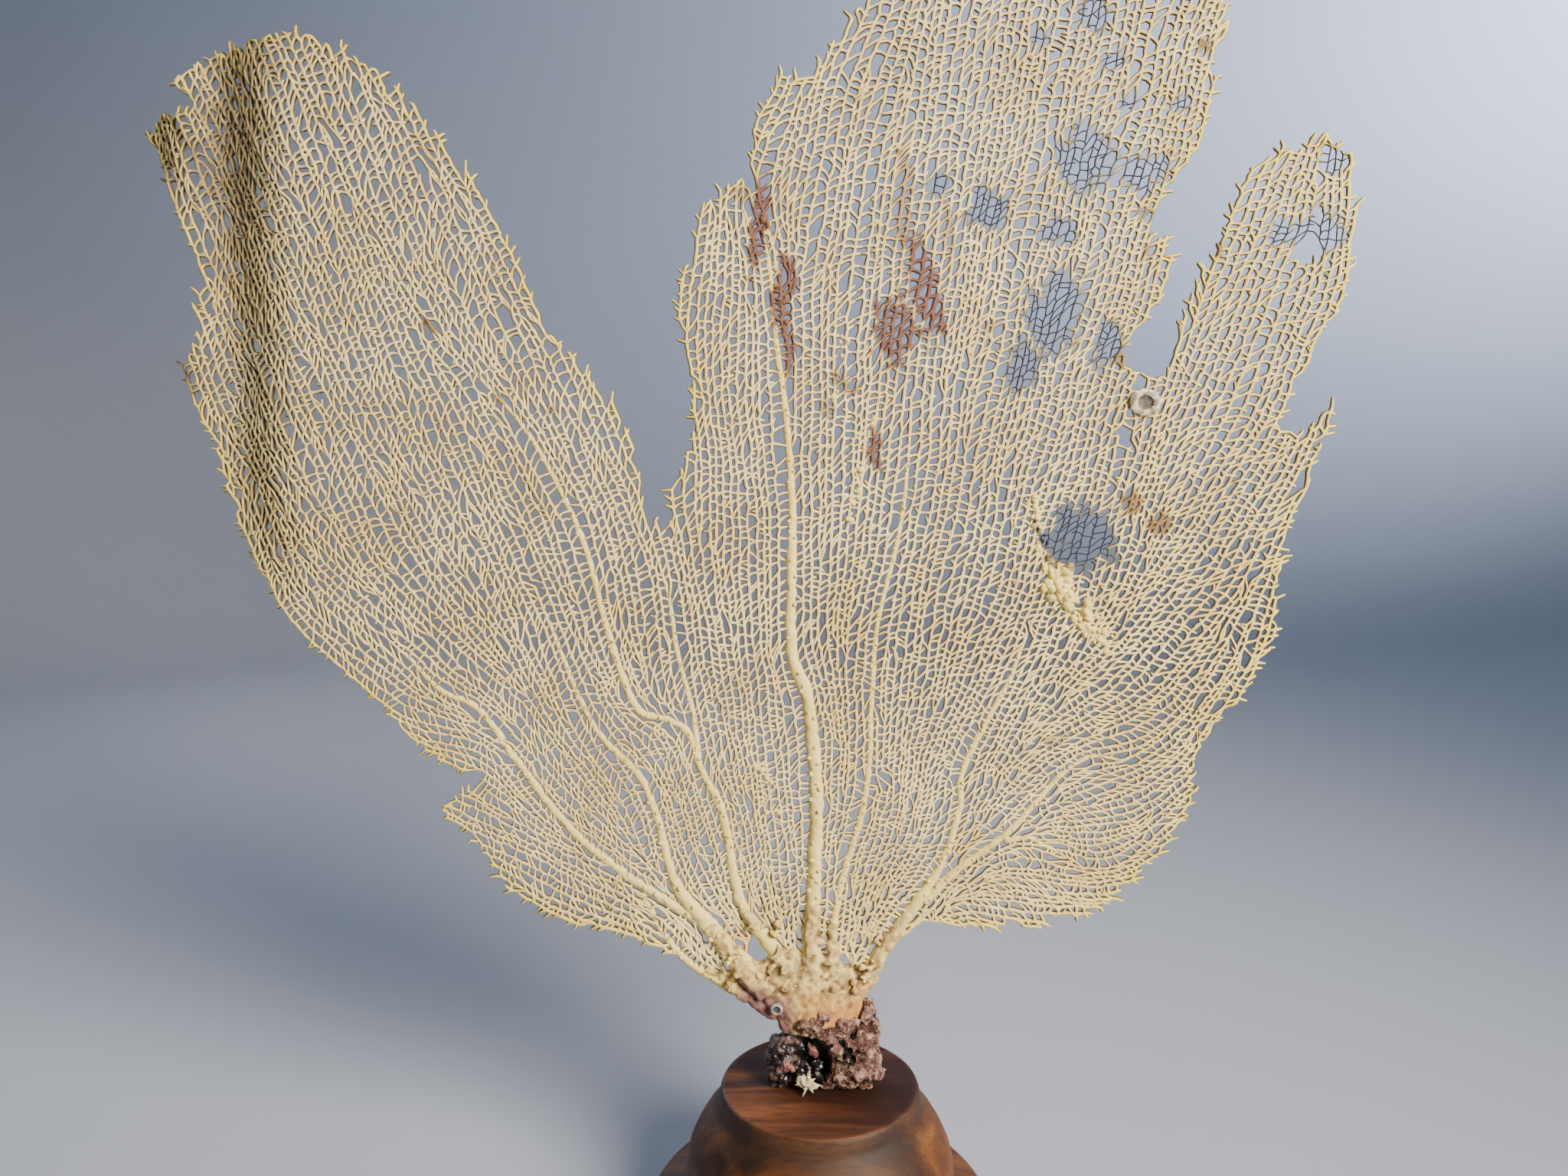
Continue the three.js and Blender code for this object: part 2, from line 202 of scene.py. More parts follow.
def hand(piece, material, slot, *nodes):
    piece.data.materials.clear()
    piece.data.materials.append(material)
    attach(piece, "root")
    if nodes:
        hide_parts(*nodes)


# ---- materials

def colour(hexValue):
    channels = [int(hexValue[k:k + 2], 16) / 255 for k in (1, 3, 5)]
    linear = [c / 12.92 if c <= 0.04045 else ((c + 0.055) / 1.055) ** 2.4 for c in channels]
    return (*linear, 1.0)


def addNode(tree, kind, settings, links=None):
    # settings go to sockets by number or name, or to the node itself; links give (node, output)
    node = tree.nodes.new(kind)
    for key, value in settings.items():
        if isinstance(key, int) or key in node.inputs:
            node.inputs[key].default_value = value
        else:
            setattr(node, key, value)
    for key, (source, output) in (links or {}).items():
        tree.links.new(source.outputs[output], node.inputs[key])
    return node


def newMaterial(name):
    material = bpy.data.materials.new(name)
    material.use_nodes = True
    material.node_tree.nodes.clear()
    return material, material.node_tree


def finishMaterial(tree, settings, links):
    shader = addNode(tree, "ShaderNodeBsdfPrincipled", settings, links)
    addNode(tree, "ShaderNodeOutputMaterial", {}, {"Surface": (shader, "BSDF")})


fanLook = {
    "crust": "#e4cc84",     # bleached lime crust in full light
    "crustShade": "#c8ad78",
    "chalk": "#f0e1aa",
    "twigSideShade": "#3f2d18",     # painted shade on the sides of each twig
    "rim": "#e4cc5c",       # young twigs at the edge are yellower
    "horn": "#29292e",      # the bare horny core, almost black
    "mauve": "#643a36",     # dried red-purple crust that didn't bleach
    "brown": "#755630",     # dried weed and silt
    "creaseShade": "#56493a",      # painted shade in the crease where the left margin rolls back
    "roughness": 0.86,
}


def bleachedLimeCrust():
    # Sea fan twigs: horn under a sun-bleached crust of lime grains. It looks dull, chalky and cream.
    material, tree = newMaterial("bleachedLimeCrust")
    place = addNode(tree, "ShaderNodeTexCoord", {})
    # patches 35 mm across, as the crust bleaches unevenly
    broad = addNode(tree, "ShaderNodeTexNoise", {"Scale": 1 / 0.035, "Detail": 2.0},
                    {"Vector": (place, "Object")})
    # lime grains are 0.1 mm, drawn 1.4 mm across so that they show
    fine = addNode(tree, "ShaderNodeTexNoise", {"Scale": 1 / 0.0014, "Detail": 2.0},
                   {"Vector": (place, "Object")})
    broadSpan = addNode(tree, "ShaderNodeMapRange", {1: 0.38, 2: 0.62}, {0: (broad, 0)})
    fineSpan = addNode(tree, "ShaderNodeMapRange", {1: 0.35, 2: 0.68}, {0: (fine, 0)})
    shade = addNode(tree, "ShaderNodeMix", {"data_type": "RGBA", 6: colour(fanLook["crustShade"]),
                                            7: colour(fanLook["crust"])}, {0: (fineSpan, 0)})
    chalkShare = addNode(tree, "ShaderNodeMath", {"operation": "MULTIPLY", 1: 0.55},
                         {0: (broadSpan, 0)})
    last = addNode(tree, "ShaderNodeMix", {"data_type": "RGBA", 7: colour(fanLook["chalk"])},
                   {0: (chalkShare, 0), 6: (shade, 2)})
    # each mark shows fully where it is over the second number, at the strength of the third; the marks on
    # the twigs' sides and in the rolled-back crease are painted shade
    for markName, low, high, strength in (("rim", 0, 1, 0.7), ("twigSideShade", 0, 0.4, 0.9),
                                       ("creaseShade", 0, 1, 0.7), ("mauve", 0, 0.8, 0.92),
                                       ("brown", 0, 0.9, 0.85), ("horn", 0, 1, 1.0)):
        stained = addNode(tree, "ShaderNodeAttribute", {"attribute_name": markName})
        share = addNode(tree, "ShaderNodeMapRange", {1: low, 2: high, 4: strength},
                        {0: (stained, "Fac")})
        last = addNode(tree, "ShaderNodeMix", {"data_type": "RGBA", 7: colour(fanLook[markName])},
                       {0: (share, 0), 6: (last, 2)})
    grain = addNode(tree, "ShaderNodeBump", {"Strength": 0.35, "Distance": 0.3 * mm},
                    {"Height": (fine, 0)})
    finishMaterial(tree, {"Roughness": fanLook["roughness"], "Specular IOR Level": 0.3},
                   {"Base Color": (last, 2), "Normal": (grain, 0)})
    return material


trunkLook = {
    "cream": "#dec780",
    "shade": "#ac8f56",
    "peach": "#b8793c",
    "mauve": "#784a54",
    # small dark pits, and painted shade in the hollows
    "pitAndHollowShade": "#4e3220",
    "roughness": 0.8,
}


def limeCrustedTrunk():
    # The old trunk: thick lime crust over horn, lumpy, with peach and mauve tints low down.
    material, tree = newMaterial("limeCrustedTrunk")
    place = addNode(tree, "ShaderNodeTexCoord", {})
    grain = addNode(tree, "ShaderNodeTexNoise", {"Scale": 1 / 0.003, "Detail": 4.0},
                    {"Vector": (place, "Object")})
    pits = addNode(tree, "ShaderNodeTexNoise", {"Scale": 1 / 0.0024, "Detail": 1.0},
                   {"Vector": (place, "Object")})
    grainSpan = addNode(tree, "ShaderNodeMapRange", {1: 0.4, 2: 0.62}, {0: (grain, 0)})
    pitSpan = addNode(tree, "ShaderNodeMapRange", {1: 0.66, 2: 0.74, 3: 0.0, 4: 0.5}, {0: (pits, 0)})
    last = addNode(tree, "ShaderNodeMix", {"data_type": "RGBA", 6: colour(trunkLook["shade"]),
                                           7: colour(trunkLook["cream"])}, {0: (grainSpan, 0)})
    for markName, strength in (("peach", 0.8), ("mauve", 0.85)):
        stained = addNode(tree, "ShaderNodeAttribute", {"attribute_name": markName})
        share = addNode(tree, "ShaderNodeMath", {"operation": "MULTIPLY", 1: strength},
                        {0: (stained, "Fac")})
        last = addNode(tree, "ShaderNodeMix", {"data_type": "RGBA", 7: colour(trunkLook[markName])},
                       {0: (share, 0), 6: (last, 2)})
    # painted shade: the hollows take the pit colour, as the small pits from noise do
    hollow = addNode(tree, "ShaderNodeAttribute", {"attribute_name": "hollow"})
    hollowSpan = addNode(tree, "ShaderNodeMapRange", {1: 0.5, 2: 0.85, 3: 0.0, 4: 0.8},
                         {0: (hollow, "Fac")})
    pitAndShadeShare = addNode(tree, "ShaderNodeMath", {"operation": "MAXIMUM"},
                       {0: (pitSpan, 0), 1: (hollowSpan, 0)})
    last = addNode(tree, "ShaderNodeMix", {"data_type": "RGBA", 7: colour(trunkLook["pitAndHollowShade"])},
                   {0: (pitAndShadeShare, 0), 6: (last, 2)})
    bump = addNode(tree, "ShaderNodeBump", {"Strength": 0.5, "Distance": 0.5 * mm},
                   {"Height": (grain, 0)})
    finishMaterial(tree, {"Roughness": trunkLook["roughness"], "Specular IOR Level": 0.35},
                   {"Base Color": (last, 2), "Normal": (bump, 0)})
    return material


rubbleLook = {
    "base": ["#2e1610", "#bda882"],     # the darkest and the palest patches
    "between": ((0.4, "#45241a"), (0.5, "#5e4038"), (0.6, "#7c5b56"), (0.68, "#8f7060")),
    "pale": "#c8b394",
    # painted shade in the hollows and the slit
    "deep": "#120806",
    "roughness": 0.9,
}


def cementedRubble():
    # Shell rubble cemented by pink coralline crust: gritty, with painted shade, near-black red-brown, in
    # its hollows and its slit, and pink, tan and cream on its ridges and grains.
    material, tree = newMaterial("cementedRubble")
    place = addNode(tree, "ShaderNodeTexCoord", {})
    grit = addNode(tree, "ShaderNodeTexNoise", {"Scale": 1 / 0.0016, "Detail": 3.0, "Distortion": 1.2},
                   {"Vector": (place, "Object")})
    patch = addNode(tree, "ShaderNodeTexNoise", {"Scale": 1 / 0.0042, "Detail": 4.0},
                    {"Vector": (place, "Object")})
    tones = addNode(tree, "ShaderNodeValToRGB", {}, {0: (patch, 0)})
    ramp = tones.color_ramp
    for spot, tone in rubbleLook["between"]:
        stop = ramp.elements.new(spot)
        stop.color = colour(tone)
    ramp.elements[0].color, ramp.elements[-1].color = map(colour, rubbleLook["base"])
    # painted shade: the hollows and the slit's pocket turn near-black
    hollow = addNode(tree, "ShaderNodeAttribute", {"attribute_name": "hollow"})
    hollowShadeSpan = addNode(tree, "ShaderNodeMapRange", {1: 0.46, 2: 0.74, 3: 0.0, 4: 0.94},
                       {0: (hollow, "Fac")})
    pocketShade = addNode(tree, "ShaderNodeAttribute", {"attribute_name": "pocketShade"})
    deep = addNode(tree, "ShaderNodeMath", {"operation": "MAXIMUM"},
                   {0: (hollowShadeSpan, 0), 1: (pocketShade, "Fac")})
    ridge = addNode(tree, "ShaderNodeMapRange", {1: 0.1, 2: 0.36, 3: 0.5, 4: 0.0},
                    {0: (hollow, "Fac")})
    speck = addNode(tree, "ShaderNodeMapRange", {1: 0.56, 2: 0.68, 3: 0.0, 4: 0.6}, {0: (grit, 0)})
    pale = addNode(tree, "ShaderNodeMath", {"operation": "MAXIMUM"}, {0: (speck, 0), 1: (ridge, 0)})
    last = (tones, 0)
    for share, tone in ((pale, "pale"), (deep, "deep")):
        mixed = addNode(tree, "ShaderNodeMix", {"data_type": "RGBA", 7: colour(rubbleLook[tone])},
                        {0: (share, 0), 6: last})
        last = (mixed, 2)
    bump = addNode(tree, "ShaderNodeBump", {"Strength": 0.8, "Distance": 0.6 * mm},
                   {"Height": (grit, 0)})
    finishMaterial(tree, {"Roughness": rubbleLook["roughness"], "Specular IOR Level": 0.35},
                   {"Base Color": last, "Normal": (bump, 0)})
    return material


hornLook = {
    "base": ["#120e10", "#8c6c62"],
    "between": ((0.44, "#1d1516"), (0.52, "#41302c"), (0.62, "#5e463f")),
    "silt": "#8f8480",
    "bare": "#100c0e",
    # painted shade in the hollows
    "deep": "#0b090a",
    "bareFrom": (-9, -6.5),     # the bare core fades in between these, from left to right
}


def driedHoldfast():
    # The dried holdfast: dark horn with a resin-like gloss, silted grey and pink on its ridges.
    material, tree = newMaterial("driedHoldfast")
    place = addNode(tree, "ShaderNodeTexCoord", {})
    patch = addNode(tree, "ShaderNodeTexNoise", {"Scale": 1 / 0.006, "Detail": 3.0},
                    {"Vector": (place, "Object")})
    tones = addNode(tree, "ShaderNodeValToRGB", {}, {0: (patch, 0)})
    ramp = tones.color_ramp
    for spot, tone in hornLook["between"]:
        stop = ramp.elements.new(spot)
        stop.color = colour(tone)
    ramp.elements[0].color, ramp.elements[-1].color = map(colour, hornLook["base"])
    hollow = addNode(tree, "ShaderNodeAttribute", {"attribute_name": "hollow"})
    # painted shade: the hollows turn almost black
    deep = addNode(tree, "ShaderNodeMapRange", {1: 0.44, 2: 0.66, 3: 0.0, 4: 0.95},
                   {0: (hollow, "Fac")})
    ridge = addNode(tree, "ShaderNodeMapRange", {1: 0.12, 2: 0.36, 3: 0.4, 4: 0.0},
                    {0: (hollow, "Fac")})
    # the core, right of the silted lump, is bare and black
    across = addNode(tree, "ShaderNodeSeparateXYZ", {}, {0: (place, "Object")})
    start, end = hornLook["bareFrom"]
    bare = addNode(tree, "ShaderNodeMapRange", {1: start * mm, 2: end * mm, 3: 0.0, 4: 0.92},
                   {0: (across, 0)})
    last = (tones, 0)
    for share, tone in ((ridge, "silt"), (bare, "bare"), (deep, "deep")):
        mixed = addNode(tree, "ShaderNodeMix", {"data_type": "RGBA", 7: colour(hornLook[tone])},
                        {0: (share, 0), 6: last})
        last = (mixed, 2)
    gloss = addNode(tree, "ShaderNodeMapRange", {1: 0.44, 2: 0.6, 3: 0.22, 4: 0.8}, {0: (patch, 0)})
    bump = addNode(tree, "ShaderNodeBump", {"Strength": 0.6, "Distance": 0.5 * mm},
                   {"Height": (patch, 0)})
    finishMaterial(tree, {"Specular IOR Level": 0.5},
                   {"Base Color": last, "Roughness": (gloss, 0), "Normal": (bump, 0)})
    return material


def seaShell(name, pale, dark, grain):
    # Worn shell lime: pale, faintly glossy, with dirt in its grooves.
    material, tree = newMaterial(name)
    place = addNode(tree, "ShaderNodeTexCoord", {})
    dirt = addNode(tree, "ShaderNodeTexNoise", {"Scale": 1 / (grain * mm), "Detail": 3.0},
                   {"Vector": (place, "Object")})
    span = addNode(tree, "ShaderNodeMapRange", {1: 0.42, 2: 0.6}, {0: (dirt, 0)})
    tint = addNode(tree, "ShaderNodeMix", {"data_type": "RGBA", 6: colour(dark), 7: colour(pale)},
                   {0: (span, 0)})
    # painted shade inside a shell's crater
    pocketShade = addNode(tree, "ShaderNodeAttribute", {"attribute_name": "pocketShade"})
    shade = addNode(tree, "ShaderNodeMapRange", {4: 0.85}, {0: (pocketShade, "Fac")})
    inner = addNode(tree, "ShaderNodeMix", {"data_type": "RGBA", 7: colour("#2b231c")},
                    {0: (shade, 0), 6: (tint, 2)})
    bump = addNode(tree, "ShaderNodeBump", {"Strength": 0.5, "Distance": 0.3 * mm},
                   {"Height": (dirt, 0)})
    finishMaterial(tree, {"Roughness": 0.55, "Specular IOR Level": 0.45},
                   {"Base Color": (inner, 2), "Normal": (bump, 0)})
    return material


woodLook = {
    "dark": "#180b06",
    "red": "#2e150b",
    "gold": "#5c3420",
    "wornAndLit": "#7a4c2c",      # the golden part of the disc's top: partly rubbed wear, partly painted light
    "tanDark": "#22130a",
    "tan": "#553214",
    "tanPale": "#7d4f22",
    "grime": "#2c2018",
    "pore": "#2a150c",
    "cloud": "#2e180d",
    "roughness": 0.6,
    "rubbedAndLit": (-34, -14, 68),       # the middle of the golden place
    "rubbedAndLitReach": (8, 32),
    "top": (67.0, 67.8),            # heights between which the sides become the top
    "grimeRise": (54.0, 60.0),      # heights where the grime begins and is full
    "grimeTop": 67.2,
}


def turnedHardwood():
    # Reddish hardwood turned on a lathe and waxed, worn to tan on its sides: streaky along the
    # grain, satin, darker in the pores.
    material, tree = newMaterial("turnedHardwood")
    place = addNode(tree, "ShaderNodeTexCoord", {})
    # the grain runs along X; figure 16 mm wide, pores 1.5 mm wide, both six times as long
    along = addNode(tree, "ShaderNodeMapping", {"Scale": (0.16, 1.0, 1.0), "Rotation": (0, 0, 0.35)},
                    {"Vector": (place, "Object")})
    figure = addNode(tree, "ShaderNodeTexNoise", {"Scale": 1 / 0.016, "Detail": 5.0,
                                                  "Distortion": 0.6}, {"Vector": (along, 0)})
    pores = addNode(tree, "ShaderNodeTexNoise", {"Scale": 1 / 0.0015, "Detail": 2.0},
                    {"Vector": (along, 0)})
    cloud = addNode(tree, "ShaderNodeTexNoise", {"Scale": 1 / 0.045, "Detail": 2.0},
                    {"Vector": (place, "Object")})
    ramps = []
    for tones in (("dark", "red", "gold"), ("tanDark", "tan", "tanPale")):
        band = addNode(tree, "ShaderNodeValToRGB", {}, {0: (figure, 0)})
        stops = band.color_ramp.elements
        stops[0].position, stops[0].color = 0.34, colour(woodLook[tones[0]])
        stops[-1].position, stops[-1].color = 0.7, colour(woodLook[tones[2]])
        middle = stops.new(0.5)
        middle.color = colour(woodLook[tones[1]])
        ramps.append(band)
    height = addNode(tree, "ShaderNodeSeparateXYZ", {}, {0: (place, "Object")})
    topFrom, topTo = woodLook["top"]
    top = addNode(tree, "ShaderNodeMapRange", {1: topFrom * mm, 2: topTo * mm}, {0: (height, 2)})
    last = addNode(tree, "ShaderNodeMix", {"data_type": "RGBA"},
                   {0: (top, 0), 6: (ramps[1], 0), 7: (ramps[0], 0)})
    # the left front of the top is golden in streaks: partly rubbed wear, partly painted light
    middle = tuple(value * mm for value in woodLook["rubbedAndLit"])
    rubbedAndLit = addNode(tree, "ShaderNodeVectorMath", {"operation": "DISTANCE", 1: middle},
                     {0: (place, "Object")})
    near, far = woodLook["rubbedAndLitReach"]
    rubbedAndLitSpan = addNode(tree, "ShaderNodeMapRange", {1: near * mm, 2: far * mm, 3: 0.9, 4: 0.0},
                         {0: (rubbedAndLit, "Value")})
    streak = addNode(tree, "ShaderNodeMapRange", {1: 0.36, 2: 0.6}, {0: (figure, 0)})
    rubbedAndLitShare = addNode(tree, "ShaderNodeMath", {"operation": "MULTIPLY"},
                          {0: (rubbedAndLitSpan, "Result"), 1: (streak, 0)})
    onTop = addNode(tree, "ShaderNodeMath", {"operation": "MULTIPLY"},
                    {0: (rubbedAndLitShare, 0), 1: (top, 0)})
    # a grimy band under the rim, and a dark line round it
    start, full = woodLook["grimeRise"]
    grime = addNode(tree, "ShaderNodeMapRange", {1: start * mm, 2: full * mm, 3: 0.0, 4: 0.7},
                    {0: (height, 2)})
    below = addNode(tree, "ShaderNodeMath", {"operation": "LESS_THAN", 1: woodLook["grimeTop"] * mm},
                    {0: (height, 2)})
    grimeShare = addNode(tree, "ShaderNodeMath", {"operation": "MULTIPLY"},
                         {0: (grime, 0), 1: (below, 0)})
    poreSpan = addNode(tree, "ShaderNodeMapRange", {1: 0.3, 2: 0.52, 3: 0.55, 4: 0.0}, {0: (pores, 0)})
    cloudSpan = addNode(tree, "ShaderNodeMapRange", {1: 0.45, 2: 0.65, 3: 0.0, 4: 0.3}, {0: (cloud, 0)})
    for share, tone in ((onTop, "wornAndLit"), (grimeShare, "grime"), (poreSpan, "pore"),
                        (cloudSpan, "cloud")):
        last = addNode(tree, "ShaderNodeMix", {"data_type": "RGBA", 7: colour(woodLook[tone])},
                       {0: (share, 0), 6: (last, 2)})
    bump = addNode(tree, "ShaderNodeBump", {"Strength": 0.25, "Distance": 0.3 * mm},
                   {"Height": (pores, 0)})
    finishMaterial(tree, {"Roughness": woodLook["roughness"], "Specular IOR Level": 0.28},
                   {"Base Color": (last, 2), "Normal": (bump, 0)})
    return material


def mattPaper(name, tone):
    material, tree = newMaterial(name)
    finishMaterial(tree, {"Base Color": colour(tone), "Roughness": 0.95,
                          "Specular IOR Level": 0.15}, {})
    return material


# ---- the blade, read from the frame

bladeNodes = ["trunk", "branch_left_low", "branch_left_mid", "branch_left_inner",
              "branch_centre_left", "branch_centre", "branch_right_high", "branch_right_lobe",
              "branch_right_low"]


def readBlade():
    # which node stands at each square millimetre, seen from the front, and its middle depth
    corners, faces, owner = [], [], []
    for index, name in enumerate(bladeNodes):
        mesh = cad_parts[name].data
        start = len(corners)
        corners += [v.co.copy() for v in mesh.vertices]
        faces += [[start + k for k in p.vertices] for p in mesh.polygons]
        owner += [index] * len(mesh.polygons)
    tree = BVHTree.FromPolygons(corners, faces)
    boxes = [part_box(name) for name in bladeNodes]
    low = [min(box[0][k] for box in boxes) / mm for k in range(3)]
    high = [max(box[1][k] for box in boxes) / mm for k in range(3)]
    left, bottom = int(low[0]) - 6, int(low[2]) - 6
    columns, rows = int(high[0]) + 10 - left, int(high[2]) + 8 - bottom
    label = -np.ones((rows, columns), int)
    middle = np.zeros((rows, columns))
    front, back = Vector((0, 1, 0)), Vector((0, -1, 0))
    for row in range(rows):
        for column in range(columns):
            x, z = (left + column) * mm, (bottom + row) * mm
            hit = tree.ray_cast(Vector((x, -0.2, z)), front)
            if hit[0] is None:
                continue
            other = tree.ray_cast(Vector((x, 0.2, z)), back)
            label[row, column] = owner[hit[2]]
            middle[row, column] = (hit[0].y + other[0].y) / 2 / mm
    return {"left": left, "bottom": bottom, "label": label, "middle": middle}


def blur(field, size):
    rows, columns = field.shape
    pad = int(size * 4)
    wide = np.pad(field, pad)
    up = np.fft.fftfreq(wide.shape[0])[:, None]
    along = np.fft.rfftfreq(wide.shape[1])[None, :]
    spectrum = np.fft.rfft2(wide) * np.exp(-2 * (math.pi * size) ** 2 * (up ** 2 + along ** 2))
    return np.fft.irfft2(spectrum, wide.shape)[pad:pad + rows, pad:pad + columns]


rollStart = -195    # left of this the blade rolls back, and is measured along its curve


def layOut(blade):
    # the blade as a flat sheet: s runs along it, z up, so that its cells stay even round the roll
    label, middle, left = blade["label"], blade["middle"], blade["left"]
    hits = label >= 0
    closed = label.copy()
    for down, across in ((0, 1), (1, 0)):    # the saw-cut gaps between branches
        before = np.roll(label, (down, across), (0, 1))
        after = np.roll(label, (-down, -across), (0, 1))
        gapCell = (closed < 0) & (before >= 0) & (after >= 0)
        closed[gapCell] = before[gapCell]
    depth, known = np.zeros_like(middle), np.zeros_like(hits)
    for size in (6, 9, 25):
        weight = blur(hits.astype(float), size)
        value = blur(np.where(hits, middle, 0.0), size) / np.maximum(weight, 1e-9)
        use = ~known & (weight > 1e-3)
        depth[use] = value[use]
        known |= use
    x = left + np.arange(label.shape[1])
    pin = rollStart - left
    arc = np.cumsum(np.sqrt(1 + np.gradient(depth, axis=1) ** 2), axis=1)
    arc = arc - arc[:, pin:pin + 1] + x[pin]
    arc[:, pin:] = x[pin:]
    sheetLeft = int(arc[:, 0].min())
    s = sheetLeft + np.arange(int(x[-1]) - sheetLeft)
    sheetLabel = -np.ones((label.shape[0], len(s)), int)
    for row in range(label.shape[0]):
        column = np.clip(np.round(np.interp(s, arc[row], x) - left).astype(int), 0, len(x) - 1)
        sheetLabel[row] = closed[row, column]
    blade.update(depth=depth, arc=arc, x=x, sheetLeft=sheetLeft, sheetLabel=sheetLabel,
                 web=blur((closed >= 0).astype(float), 1.5), slopeX=np.gradient(depth, axis=1),
                 slopeZ=np.gradient(depth, axis=0))


blade = readBlade()
layOut(blade)
print("blade read from the frame:", blade["label"].shape)


def sample(field, x, z):
    column = np.clip(x - blade["left"], 0, field.shape[1] - 1.001)
    row = np.clip(z - blade["bottom"], 0, field.shape[0] - 1.001)
    i, j = column.astype(int), row.astype(int)
    u, v = column - i, row - j
    return ((field[j, i] * (1 - u) + field[j, i + 1] * u) * (1 - v)
            + (field[j + 1, i] * (1 - u) + field[j + 1, i + 1] * u) * v)


def sheetToX(s, z):
    x = np.array(s, float)
    rows = np.clip(np.round(z - blade["bottom"]).astype(int), 0, len(blade["arc"]) - 1)
    rolled = s < rollStart
    for row in np.unique(rows[rolled]):
        those = rolled & (rows == row)
        x[those] = np.interp(s[those], blade["arc"][row], blade["x"])
    return x


def xToSheet(x, z):
    if x > rollStart:
        return x
    row = int(np.clip(round(z - blade["bottom"]), 0, len(blade["arc"]) - 1))
    return float(np.interp(x, blade["x"], blade["arc"][row]))


def onSheet(s, z, lift):
    # points at sheet place (s, z), lifted towards the front by lift
    x = sheetToX(s, z)
    facing = np.stack([sample(blade["slopeX"], x, z), -np.ones(len(x)),
                       sample(blade["slopeZ"], x, z)], 1)
    facing /= np.linalg.norm(facing, axis=1)[:, None]
    return np.stack([x, sample(blade["depth"], x, z), z], 1) + facing * lift[:, None], facing


def ownerAt(s, z):
    column, row = int(round(s - blade["sheetLeft"])), int(round(z - blade["bottom"]))
    if column < 0 or row < 0 or row >= blade["sheetLabel"].shape[0] \
            or column >= blade["sheetLabel"].shape[1]:
        return -1
    return blade["sheetLabel"][row, column]


# ---- ribs and the way the net grows

# stations of each rib from its foot to its tip: x, z and width, with the node that carries it
ribs = [
    ("branch_left_low", [[-47, 137, 4.5], [-61, 146, 4], [-81, 160, 3.6], [-101, 178, 3.5],
                         [-120, 204, 3.3], [-136, 227, 2.8], [-150, 234, 2.4], [-162, 247, 1.8],
                         [-172, 257, 1]]),
    ("branch_left_low", [[-40, 112, 4.5], [-53, 120, 3.2], [-64, 133, 2.8], [-72, 150, 2]]),
    ("branch_left_mid", [[-22, 108, 14], [-34, 122, 11], [-46, 137, 8], [-59, 155, 4.6],
                         [-66, 182, 3.5], [-73, 200, 3.1], [-87, 215, 2.6], [-96, 232, 2.2],
                         [-104, 254, 1.8], [-112, 276, 1]]),
    ("branch_left_inner", [[-10, 112, 10], [-20, 128, 7], [-31, 143, 5], [-36, 162, 4.2],
                           [-40, 185, 3.7], [-48, 202, 3.4], [-53, 217, 3], [-62, 223, 3],
                           [-72, 226, 3.1], [-79, 241, 3.2], [-85, 262, 3], [-94, 297, 2.4],
                           [-112, 334, 1.9], [-133, 359, 1.6], [-149, 376, 1]]),
    ("branch_left_inner", [[-49, 206, 2.8], [-51, 225, 2.4], [-57, 250, 2.1], [-60, 272, 1.7],
                           [-67, 297, 1]]),
    ("branch_centre_left", [[-4, 112, 14], [-4, 132, 9], [-3, 152, 6.5], [-2, 185, 5.8],
                            [-3, 207, 5.6], [-6, 232, 5.4], [-12, 250, 5], [-12, 280, 4],
                            [-12, 310, 3.4], [-14, 340, 2.9], [-18, 370, 2.4], [-21, 400, 1.9],
                            [-28, 425, 1]]),
    ("branch_centre", [[4, 126, 4], [6, 142, 3.6], [9, 158, 3.2], [16, 182, 2.8], [19, 205, 2.6],
                       [20, 235, 2.4], [22, 262, 2.2], [30, 297, 2], [33, 325, 1.6],
                       [34, 350, 1]]),
    ("branch_right_high", [[16, 111, 8], [24, 124, 7.5], [32, 136, 6], [40, 148, 5],
                           [47, 159, 3.8], [52, 172, 3.3], [56, 187, 3], [56, 199, 2.8],
                           [63, 216, 2.7], [74, 237, 2.3], [81, 257, 1.2]]),
    ("branch_right_lobe", [[42, 146, 4], [54, 159, 3.6], [66, 168, 3.2], [77, 177, 3],
                           [88, 190, 2.5], [98, 201, 2.2], [109, 207, 1.8], [121, 205, 1]]),
    ("branch_right_low", [[74, 172, 2.8], [84, 173, 2.2], [92, 169, 1.8], [102, 164, 1]]),
]

